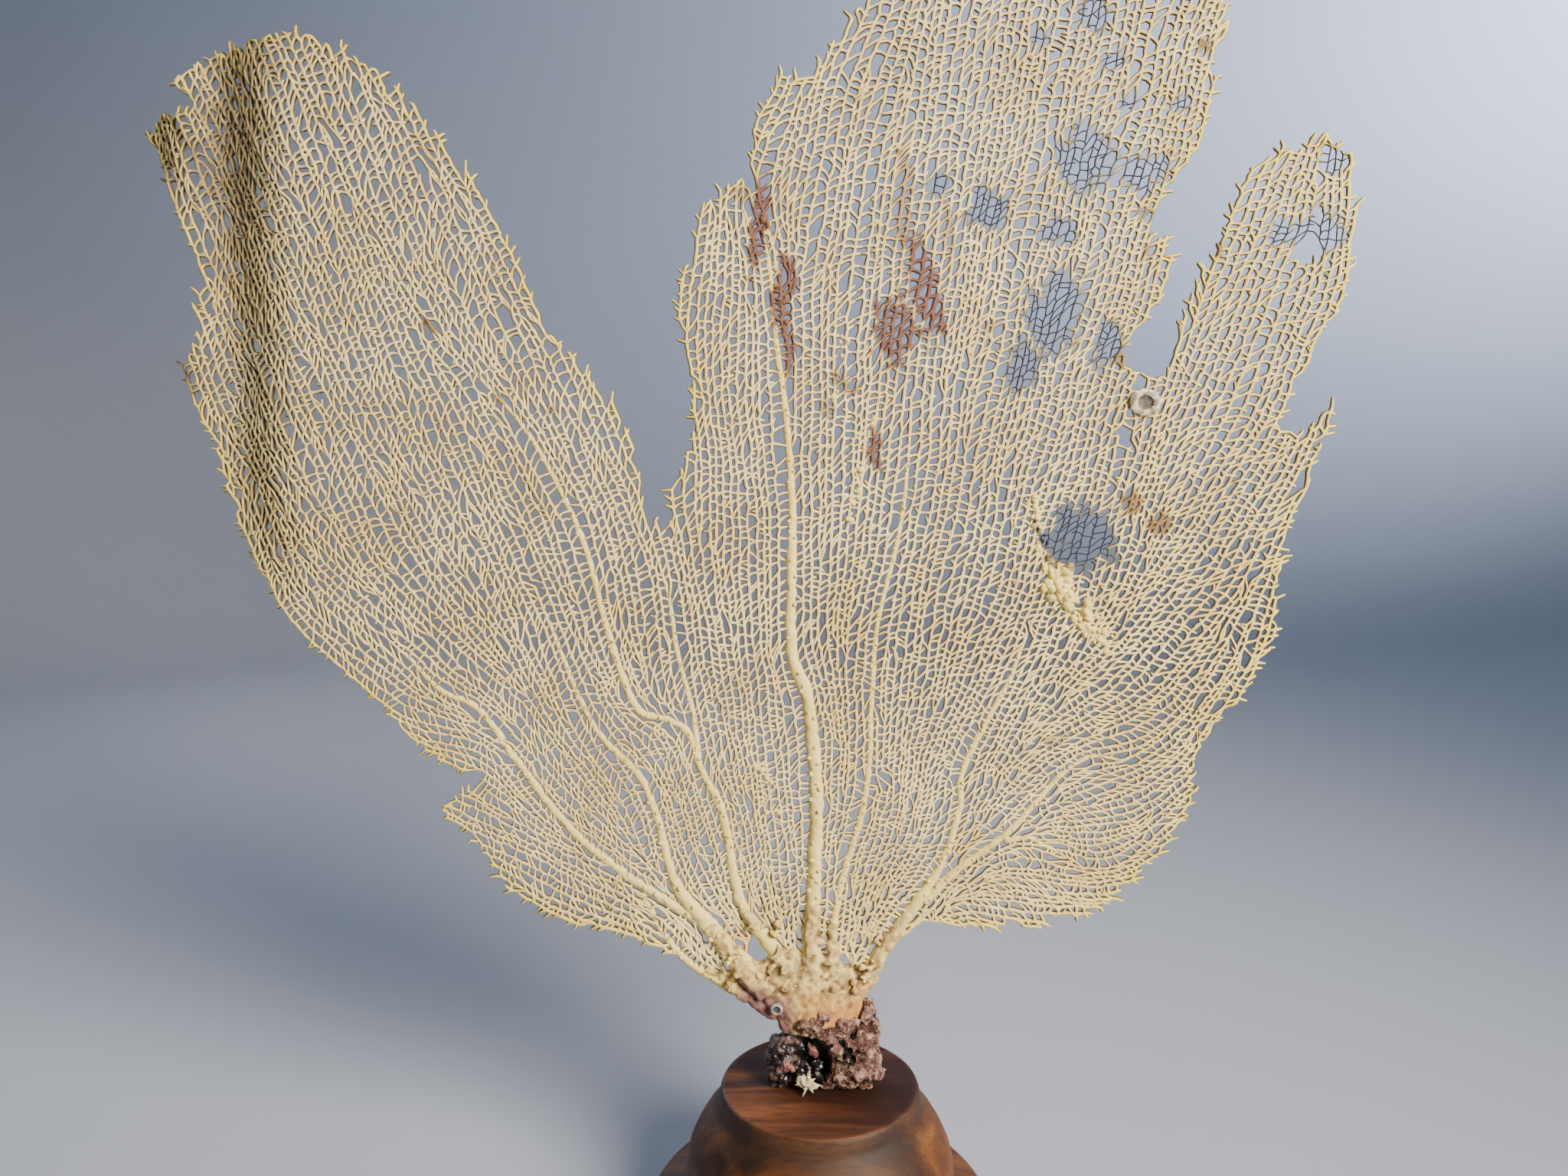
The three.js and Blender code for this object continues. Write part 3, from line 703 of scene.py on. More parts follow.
# lines that the twigs follow between the ribs and out into the lobes
growth = [
    [[-205, 290], [-222, 330], [-238, 368], [-250, 400]],
    [[-236, 350], [-244, 385], [-252, 420], [-264, 456]],
    [[-180, 290], [-200, 335], [-222, 385], [-246, 440]],
    [[-160, 300], [-182, 350], [-206, 405], [-232, 465]],
    [[-136, 300], [-158, 350], [-182, 410], [-210, 480]],
    [[-118, 320], [-140, 370], [-162, 420], [-186, 480]],
    [[-96, 330], [-120, 380], [-142, 425], [-160, 462]],
    [[-78, 320], [-94, 355], [-112, 392]],
    [[-49, 320], [-52, 370], [-46, 420]],
    [[-35, 300], [-37, 370], [-33, 430], [-15, 470]],
    [[-8, 330], [-4, 400], [8, 460], [25, 505]],
    [[28, 300], [36, 370], [46, 440], [56, 510]],
    [[55, 300], [68, 370], [82, 440], [96, 515]],
    [[84, 290], [102, 360], [122, 430], [140, 500]],
    [[104, 280], [116, 330], [128, 380], [140, 430], [150, 480]],
    [[128, 360], [138, 400], [150, 430]],
    [[140, 340], [158, 390], [180, 450]],
    [[150, 290], [178, 340], [196, 400], [198, 440]],
    [[120, 235], [156, 280], [182, 330]],
    [[100, 215], [138, 240], [168, 282], [180, 312]],
    [[95, 190], [130, 205], [158, 235], [168, 262]],
    [[150, 200], [166, 228], [177, 262], [185, 300]],
    [[128, 165], [150, 188], [163, 215]],
    [[80, 155], [110, 150], [140, 160]],
    [[60, 145], [85, 140], [112, 140]],
    [[100, 178], [130, 182], [150, 200]],
    [[-70, 135], [-100, 142], [-130, 158]],
    [[-90, 160], [-120, 172], [-155, 188]],
    [[-130, 215], [-165, 222], [-200, 248]],
    [[-150, 250], [-190, 290], [-232, 340]],
    [[-30, 135], [-45, 175], [-55, 230], [-60, 290]],
    [[-14, 130], [-20, 170], [-26, 230], [-30, 290]],
]

net = {
    "strandGap": 3.15,      # between neighbouring long twigs
    "rungGap": 3.55,        # between cross twigs on one side of a long one
    "rungLean": (-0.55, 1.1),     # radians that cross twigs lean along the growth
    "step": 1.2,
    "halfWidth": 0.8,
    "halfDepth": 1.1,
    "bolder": 0.18,         # long twigs are thicker than cross twigs by this share each way
    "spurs": 0.62,          # share of the free places in the meshes where a short twig ends
    "trunkward": 0.4,       # extra half width of the oldest twigs
    "lowest": 112,          # the net starts above this
    "unevenness": 0.3,      # how far twigs stand in front of or behind the sheet
    # shares of strandGap: a long twig starts and ends no nearer to others than this
    "startAt": 0.93,
    "fillAt": 0.9,
    "stopAt": 0.58,
    # shares of rungGap between cross twigs on one side, and where one meets the next long twig
    "rungApart": 0.62,
    "rungMeets": 0.38,
    "endReach": 6.5,        # how far the end of a long twig looks for another to join
    "rungReach": 8.5,       # how far a cross twig looks for the next long one
    # free twigs at the margins and in the meshes: lengths, leans in radians, and the room each needs
    # as a share of its length
    "teeth": ((1.4, 3.8), (0.1, 1.2), 1.0),
    "stubs": ((1.2, 2.3), (-0.4, 1.1), 1.35),
    "stubApart": 1.35,      # a free twig starts no nearer to another than this
    "bendEvery": 3.4,       # a long twig may bend about this often
    "sag": (-0.04, 0.2),    # most cross twigs arch up along the growth, by this share of their length
    "jitter": 0.42,         # how far each joint strays
    "shortest": 0.9,        # shorter twigs than this close up
    "easing": 2,            # rounds of easing, and how far each goes
    "pull": 0.22,
    "ribWidth": 1.6,        # what is wider than this is a rib
    "seed": 7,
}


def toSheet(line):
    out = line.copy()
    for point in out:
        point[0] = xToSheet(point[0], point[1])
    return out


flowStep = 4


def makeFlow(ribLines):
    # direction of growth on a coarse grid, from the ribs and the growth lines near each place
    spots, ways = [], []
    for line in ribLines + [toSheet(sweep(points, flowStep)) for points in growth]:
        spacing = np.linalg.norm(line[1][:2] - line[0][:2])
        keep = line[::max(1, int(flowStep / max(0.5, spacing))), :2]
        way = np.gradient(keep, axis=0)
        spots.append(keep)
        ways.append(way / np.linalg.norm(way, axis=1)[:, None])
    spots, ways = np.vstack(spots), np.vstack(ways)
    rows, columns = blade["sheetLabel"].shape
    s, z = np.meshgrid(np.arange(blade["sheetLeft"], blade["sheetLeft"] + columns + flowStep, flowStep),
                       np.arange(blade["bottom"], blade["bottom"] + rows + flowStep, flowStep))
    near = 1 / ((s[..., None] - spots[:, 0]) ** 2 + (z[..., None] - spots[:, 1]) ** 2 + 36) ** 2
    angle = np.arctan2((near * ways[:, 1]).sum(-1), (near * ways[:, 0]).sum(-1))
    angle += 0.14 * ripple(s, z, 12, 0.4, np.sin) + 0.1 * ripple(s, z, 40, 2.9, np.sin)
    return {"s": s[0, 0], "z": z[0, 0], "across": np.cos(angle), "up": np.sin(angle)}


def flowAt(flow, s, z):
    a = min(max((s - flow["s"]) / flowStep, 0), flow["across"].shape[1] - 1.001)
    b = min(max((z - flow["z"]) / flowStep, 0), flow["across"].shape[0] - 1.001)
    i, j = int(a), int(b)
    p, q = a - i, b - j
    out = []
    for part in (flow["across"], flow["up"]):
        out.append((part[j, i] * (1 - p) + part[j, i + 1] * p) * (1 - q)
                   + (part[j + 1, i] * (1 - p) + part[j + 1, i + 1] * p) * q)
    size = math.hypot(*out) or 1
    return out[0] / size, out[1] / size


def grows(s, z):
    owner = ownerAt(s, z)
    return owner > 0 or (owner == 0 and z > net["lowest"])


def growStrands(flow, ribLines):
    # long twigs, laid side by side along the growth: each new one starts beside an old one
    cell = 4.5
    taken = {}
    strands = []

    def gapAt(s, z):
        near = 0.76 + 0.24 * smooth(130, 300, z)    # the meshes are finer low down
        return net["strandGap"] * (1 + 0.1 * ripple(s, z, 60, 1.0)) * near

    def claim(s, z, radius):
        taken.setdefault((int(s // cell), int(z // cell)), []).append((s, z, radius))

    def clear(s, z, limit):
        column, row = int(s // cell), int(z // cell)
        for i in range(column - 2, column + 3):
            for j in range(row - 2, row + 3):
                for a, b, radius in taken.get((i, j), ()):
                    if (a - s) ** 2 + (b - z) ** 2 < (limit + radius) ** 2:
                        return False
        return True

    def follow(s, z, sign):
        points = []
        step = net["step"] * sign
        while len(points) < 500:
            u, v = flowAt(flow, s, z)
            u, v = flowAt(flow, s + u * step / 2, z + v * step / 2)
            s, z = s + u * step, z + v * step
            if not grows(s, z):
                return points, "edge"
            if not clear(s, z, net["stopAt"] * gapAt(s, z)):
                return points, "near"
            points.append((s, z))
        return points, "edge"

    def plant(s, z):
        forward, endWhy = follow(s, z, 1)
        backward, startWhy = follow(s, z, -1)
        points = backward[::-1] + [(s, z)] + forward
        if len(points) < 3:
            return False
        strands.append({"points": points, "width": None, "start": startWhy, "end": endWhy})
        for a, b in points:
            claim(a, b, 0)
        return True

    for line in ribLines:
        keep = [tuple(p) for p in line if grows(p[0], p[1])]
        strands.append({"points": [p[:2] for p in keep], "width": [p[2] for p in keep],
                        "start": "edge", "end": "near"})
        for s, z, width in keep:
            claim(s, z, max(0, width / 2 - 0.5))
    done = 0

    def fillBeside(done):
        while done < len(strands):
            strand = strands[done]
            done += 1
            for k in range(0, len(strand["points"]), 2):
                s, z = strand["points"][k]
                half = strand["width"][k] / 2 - 0.5 if strand["width"] else 0
                u, v = flowAt(flow, s, z)
                for side in (1, -1):
                    away = gapAt(s, z) + max(0, half)
                    a, b = s + side * v * away, z - side * u * away
                    if grows(a, b) and clear(a, b, net["startAt"] * gapAt(a, b)):
                        plant(a, b)
        return done

    done = fillBeside(done)
    rows, columns = blade["sheetLabel"].shape
    for row in range(0, rows, 2):    # what is left along the margins and round the holes
        for column in range(0, columns, 2):
            s, z = blade["sheetLeft"] + column + 0.5, blade["bottom"] + row + 0.5
            if grows(s, z) and clear(s, z, net["fillAt"] * gapAt(s, z)):
                plant(s, z)
                done = fillBeside(done)
    return strands


def crossing(p, q, a, b):
    # shares along pq and ab where they cross
    rx, rz, sx, sz = q[0] - p[0], q[1] - p[1], b[0] - a[0], b[1] - a[1]
    denominator = rx * sz - rz * sx
    if abs(denominator) < 1e-9:
        return None
    t = ((a[0] - p[0]) * sz - (a[1] - p[1]) * sx) / denominator
    u = ((a[0] - p[0]) * rz - (a[1] - p[1]) * rx) / denominator
    return (t, u) if 0.02 < t <= 1 and -0.001 <= u <= 1.001 else None


def leaning(u, v, side, lean):
    # the way across a twig that runs along (u, v), to one side, leaned along it
    sense = 1 if side == 0 else -1
    c, t = math.cos(lean), math.sin(lean)
    return sense * v * c + u * t, -sense * u * c + v * t


def weave(strands, flow):
    # cross twigs between the long ones, then one graph of places and twigs
    chance = random.Random(net["seed"])
    cell = 4.0
    laid = {}
    places, kinds, rungs = [], [], []
    for strand in strands:
        points = strand["points"]
        arc = [0.0]
        for k in range(1, len(points)):
            arc.append(arc[-1] + math.dist(points[k - 1], points[k]))
        strand.update(arc=arc, sides=([], []), joints=[])

    def lay(a, b, tag):
        for i in range(int(min(a[0], b[0]) // cell), int(max(a[0], b[0]) // cell) + 1):
            for j in range(int(min(a[1], b[1]) // cell), int(max(a[1], b[1]) // cell) + 1):
                laid.setdefault((i, j), []).append((a, b, tag))

    for index, strand in enumerate(strands):
        for k in range(1, len(strand["points"])):
            lay(strand["points"][k - 1], strand["points"][k], (index, k - 1))

    def spotAt(strand, arc):
        arcs, points = strand["arc"], strand["points"]
        k = min(max(int(np.searchsorted(arcs, arc)) - 1, 0), len(arcs) - 2)
        share = (arc - arcs[k]) / max(1e-9, arcs[k + 1] - arcs[k])
        a, b = points[k], points[k + 1]
        size = math.dist(a, b) or 1
        return ((a[0] + (b[0] - a[0]) * share, a[1] + (b[1] - a[1]) * share),
                ((b[0] - a[0]) / size, (b[1] - a[1]) / size), k)

    def firstHit(p, q, own, ownPart):
        best = None
        for i in range(int(min(p[0], q[0]) // cell), int(max(p[0], q[0]) // cell) + 1):
            for j in range(int(min(p[1], q[1]) // cell), int(max(p[1], q[1]) // cell) + 1):
                for a, b, tag in laid.get((i, j), ()):
                    if tag[0] == own and abs(tag[1] - ownPart) < 6:
                        continue
                    met = crossing(p, q, a, b)
                    if met and (best is None or met[0] < best[0]):
                        best = (met[0], met[1], tag)
        return best

    def placeOn(index, arc):
        strand = strands[index]
        for known, place in strand["joints"]:
            if abs(known - arc) < 0.6:
                return place
        spot, _, k = spotAt(strand, arc)
        places.append(spot)
        kinds.append(strand["width"][k] if strand["width"] else 0.0)
        strand["joints"].append((arc, len(places) - 1))
        return len(places) - 1

    def hitArc(tag, share):
        arcs = strands[tag[0]]["arc"]
        return arcs[tag[1]] + share * (arcs[tag[1] + 1] - arcs[tag[1]])

    def sideOf(tag, p):
        a, b = strands[tag[0]]["points"][tag[1]], strands[tag[0]]["points"][tag[1] + 1]
        turn = (b[0] - a[0]) * (p[1] - a[1]) - (b[1] - a[1]) * (p[0] - a[0])
        return 0 if turn < 0 else 1    # 0 is the right side

    def close(known, arc, limit):
        return any(abs(other - arc) < limit for other in known)

    def joinEnd(index, atEnd):
        strand, reach = strands[index], net["endReach"]
        points = strand["points"]
        p = points[-1] if atEnd else points[0]
        u, v = flowAt(flow, *p)
        if not atEnd:
            u, v = -u, -v
        for turn in (0.0, 0.35, -0.35, 0.7, -0.7, 1.05, -1.05, 1.4, -1.4):
            c, t = math.cos(turn), math.sin(turn)
            q = (p[0] + (u * c - v * t) * reach, p[1] + (u * t + v * c) * reach)
            met = firstHit(p, q, index, len(points) if atEnd else 0)
            if not met or met[2][0] < 0:
                continue
            arc = hitArc(met[2], met[1])
            target = placeOn(met[2][0], arc)
            mine = placeOn(index, strand["arc"][-1] if atEnd else 0.0)
            if target == mine:
                return False
            rungs.append((mine, target))
            lay(places[mine], places[target], (-1, len(rungs)))
            strands[met[2][0]]["sides"][sideOf(met[2], p)].append(arc)
            return True
        return False

    for index, strand in enumerate(strands):
        joins = strand["start"] == "near" or not strand["width"]
        if not (joins and joinEnd(index, False)):
            placeOn(index, 0.0)
        if strand["end"] == "near":
            joinEnd(index, True)
        placeOn(index, strand["arc"][-1])

    def rungGapAt(z):
        return net["rungGap"] * (0.8 + 0.2 * smooth(160, 320, z))

    def tryRung(index, arc, side):
        strand = strands[index]
        p, (u, v), k = spotAt(strand, arc)
        if close(strand["sides"][side], arc, net["rungApart"] * rungGapAt(p[1])):
            return "close"
        sense = 1 if side == 0 else -1
        lean = chance.uniform(*net["rungLean"]) + 0.25 * sense * ripple(p[0], p[1], 42, 1.7)
        way = leaning(u, v, side, min(lean, 1.0))
        reach = net["rungReach"] + (strand["width"][k] / 2 if strand["width"] else 0)
        met = firstHit(p, (p[0] + way[0] * reach, p[1] + way[1] * reach), index, k)
        if not met:
            return "open"
        if met[2][0] < 0:
            return "rung"
        otherArc = hitArc(met[2], met[1])
        otherSides = strands[met[2][0]]["sides"][sideOf(met[2], p)]
        if close(otherSides, otherArc, net["rungMeets"] * rungGapAt(p[1])):
            return "close"
        a, b = placeOn(index, arc), placeOn(met[2][0], otherArc)
        if a == b:
            return "close"
        strand["sides"][side].append(arc)
        otherSides.append(otherArc)
        rungs.append((a, b))
        lay(places[a], places[b], (-1, len(rungs)))
        return "laid"

    for index, strand in enumerate(strands):
        arc = chance.uniform(0.8, net["rungGap"])
        while arc < strand["arc"][-1] - 0.4:
            tryRung(index, arc, 0)
            arc += rungGapAt(spotAt(strand, arc)[0][1]) * chance.uniform(0.65, 1.3)
    for index, strand in enumerate(strands):
        for side in (0, 1):
            arc = 0.8
            while arc < strand["arc"][-1] - 0.4:
                tryRung(index, arc, side)
                arc += 1.1
    # free twigs: long ones give the margins their teeth, short ones end inside the meshes
    for index, strand in enumerate(strands):
        if strand["width"]:
            continue
        for side in (0, 1):
            arc = chance.uniform(0.5, 2.0)
            while arc < strand["arc"][-1]:
                p, (u, v), k = spotAt(strand, arc)
                across = (v, -u) if side == 0 else (-v, u)
                outside = not grows(p[0] + across[0] * 3.2, p[1] + across[1] * 3.2)
                lengths, leans, room = net["teeth"] if outside else net["stubs"]
                length, lean = chance.uniform(*lengths), chance.uniform(*leans)
                free = not close(strand["sides"][side], arc, net["stubApart"])
                if free and (outside or chance.random() < net["spurs"]):
                    way = leaning(u, v, side, lean)
                    tip = (p[0] + way[0] * length, p[1] + way[1] * length)
                    beyond = (p[0] + way[0] * length * room, p[1] + way[1] * length * room)
                    if not firstHit(p, beyond, index, k):
                        places.append(tip)
                        kinds.append(-1.0)
                        strand["sides"][side].append(arc)
                        rungs.append((placeOn(index, arc), len(places) - 1))
                        lay(p, tip, (-1, len(rungs)))
                arc += chance.uniform(0.7, 1.6) if outside else chance.uniform(1.1, 2.0)
    twigs = []
    for strand in strands:
        strand["joints"].sort()
        for (startArc, a), (endArc, b) in zip(strand["joints"], strand["joints"][1:]):
            bends = int((endArc - startArc) // net["bendEvery"])
            last = a
            for m in range(1, bends + 1):
                spot, _, k = spotAt(strand, startArc + (endArc - startArc) * m / (bends + 1))
                places.append(spot)
                kinds.append(strand["width"][k] if strand["width"] else 0.0)
                twigs.append((last, len(places) - 1, 1))
                last = len(places) - 1
            twigs.append((last, b, 1))
    for a, b in rungs:
        (s0, z0), (s1, z1) = places[a], places[b]
        length = math.hypot(s1 - s0, z1 - z0)
        if length < 2.2 or kinds[b] < 0:
            twigs.append((a, b, 0))
            continue
        sag = chance.uniform(*net["sag"]) * length
        u, v = flowAt(flow, (s0 + s1) / 2, (z0 + z1) / 2)
        places.append(((s0 + s1) / 2 + u * sag, (z0 + z1) / 2 + v * sag))
        kinds.append(0.0)
        twigs += [(a, len(places) - 1, 0), (len(places) - 1, b, 0)]
    for k, (s, z) in enumerate(places):
        if kinds[k] <= 0:
            stray = net["jitter"]
            places[k] = (s + chance.uniform(-stray, stray), z + chance.uniform(-stray, stray))
    return np.array(places), np.array(kinds), twigs


def tidyNet(places, kinds, twigs):
    # very short twigs close up into one joint, then every joint eases towards its neighbours
    home = list(range(len(places)))

    def root(k):
        while home[k] != k:
            home[k] = home[home[k]]
            k = home[k]
        return k

    for a, b, _ in twigs:
        if kinds[a] <= 0 and kinds[b] <= 0 and math.dist(places[a], places[b]) < net["shortest"]:
            home[root(b)] = root(a)
    kept = {}
    for a, b, kind in twigs:
        a, b = root(a), root(b)
        if a != b:
            kept[(min(a, b), max(a, b))] = max(kind, kept.get((min(a, b), max(a, b)), 0))
    pairs = np.array(list(kept))
    count = np.bincount(pairs.ravel(), minlength=len(places))
    still = (kinds > 0) | (count < 2)
    for _ in range(net["easing"]):
        total = np.zeros_like(places)
        np.add.at(total, pairs[:, 0], places[pairs[:, 1]])
        np.add.at(total, pairs[:, 1], places[pairs[:, 0]])
        mean = total / np.maximum(count, 1)[:, None]
        places = np.where(still[:, None], places, places + net["pull"] * (mean - places))
    return places, [(a, b, kind) for (a, b), kind in kept.items()]


ribLines = [toSheet(sweep(stations, net["step"])) for _, stations in ribs]
flow = makeFlow(ribLines)
strands = growStrands(flow, ribLines)
places, widths, twigs = weave(strands, flow)
places, twigs = tidyNet(places, widths, twigs)
print("net grown:", len(strands), "strands,", len(places), "joints,", len(twigs), "twigs")


# ---- stains, worn places and painted shade

# each is x, z, half width, half height, a lean in degrees and a strength
patches = {
    # the last horn patch, on the rolled-back flap, is painted shade, and it thins the twigs there too
    "horn": [(100, 490, 6, 8, 0, 1), (79, 481, 3.5, 3.5, 0, 1), (107, 472, 4.5, 3.5, 0, 1),
             (114, 458, 4, 3.5, 0, 1), (134, 458, 3.5, 3.5, 0, 1), (99, 438, 13, 12, 15, 1),
             (120, 433, 10, 7, 0, 1), (43, 428, 4, 5, 0, 1), (62, 419, 9, 8, -20, 1),
             (89, 411, 8, 5.5, 0, 1), (88, 380, 11, 17, 20, 1), (76, 360, 7, 9, 20, 1),
             (109, 369, 5, 10, 10, 1), (101, 295, 15, 13, 0, 1), (191, 437, 6, 5, 0, 1),
             (187, 410, 10, 9, 0, 1), (173, 410, 5, 6, 0, 1), (121, 417, 4, 3, 0, 0.7),
             (-260, 396, 8, 60, -6, 0.7)],
    "mauve": [(-24, 414, 3.5, 20, 8, 0.9), (-15, 387, 4.5, 17, 6, 1), (-13, 366, 2.5, 11, 0, 0.8),
              (27, 374, 8, 14, 0, 1), (39, 388, 6, 21, -12, 1), (30, 420, 4, 22, 0, 0.5),
              (20, 329, 3, 8, 0, 0.9)],
    "brown": [(47, 412, 2.5, 12, -8, 0.6), (8, 354, 7, 3, 25, 0.8), (2, 345, 3, 4, 0, 0.7),
              (121, 309, 4.5, 5, 0, 1), (132, 300, 5.5, 4.5, 0, 1), (160, 317, 2, 2, 0, 0.8),
              (-149, 375, 3, 3, 0, 1), (-123, 348, 2.5, 2.5, 0, 0.7), (-103, 344, 2, 2, 0, 0.7),
              (141, 478, 3, 3, 0, 1), (114, 364, 3, 4, 0, 0.9), (64, 376, 3, 3, 0, 0.6),
              (149, 405, 3, 4, 0, 1), (94, 214, 5, 4, 0, 0.5), (124, 404, 3, 3, 0, 0.8),
              (-30, 424, 4, 4, 0, 0.6), (-237, 438, 4, 12, 0, 0.2)],
    # painted shade, mostly where the left margin rolls back from the light and on its flap
    "creaseShade": [(-222, 436, 21, 50, 6, 0.9), (-218, 380, 16, 62, 3, 0.45),
             (-37, 233, 9, 8, 0, 0.3), (-214, 472, 14, 12, 0, 0.4), (-257, 390, 11, 70, 0, 1)],
}
fadeWide = {"creaseShade": (0.3, 1.3)}    # where a patch starts and ends to fade, as shares of its size


def patchAt(markName, x, z):
    # how strongly a stain or a patch of painted shade shows, 0 to 1, with ragged edges
    ragged = 0.28 * ripple(x, z, 11, 1.3, np.sin) + 0.24 * ripple(x, z, 5, 0.6, np.sin)
    strength = np.zeros(len(x))
    start, end = fadeWide.get(markName, (0.78, 1.12))
    for cx, cz, halfX, halfZ, lean, force in patches[markName]:
        c, t = math.cos(math.radians(lean)), math.sin(math.radians(lean))
        u, v = (x - cx) * c - (z - cz) * t, (x - cx) * t + (z - cz) * c
        away = np.sqrt((u / halfX) ** 2 + (v / halfZ) ** 2) + ragged
        strength = np.maximum(strength, force * (1 - smooth(start, end, away)))
    return strength


# where the tints that follow the blade's shape start and end to show, and how strongly
tints = {
    "margin": (0.55, 0.98, 0.9),        # by how much of the 5 mm round a place is blade
    "rightwards": (60, 190, 0.35),      # the right side is a little yellower
    "onRibs": 0.6,
    "peachHeight": (99, 117),
    "peachAcross": (-16, 0),
}


def paint(piece, ribsFrom=None):
    # points from ribsFrom on belong to ribs and crusts, which are yellower
    spots = vertexSpots(piece) / mm
    x, z = spots[:, 0], spots[:, 2]
    marks = {markName: patchAt(markName, x, z) for markName in patches}
    core = sample(blur((blade["label"] >= 0).astype(float), 5), x, z)
    bare, full, most = tints["margin"]
    left, right, extra = tints["rightwards"]
    marks["rim"] = (1 - smooth(bare, full, core)) * most + extra * smooth(left, right, x)
    if ribsFrom:
        marks["rim"][ribsFrom:] = np.maximum(marks["rim"][ribsFrom:], tints["onRibs"])
    marks["peach"] = (1 - smooth(*tints["peachHeight"], z)) * smooth(*tints["peachAcross"], x)
    # the mauve foot of the trunk, on its left
    low = (1 - smooth(104, 113, z + 0.4 * (x + 18))) * (1 - smooth(-15, -7, x)) * smooth(-36, -30, x)
    marks["mauve"] = np.maximum(marks["mauve"], low)
    for name, values in marks.items():
        mark(piece, name, values)


# ---- from the graph to solid twigs

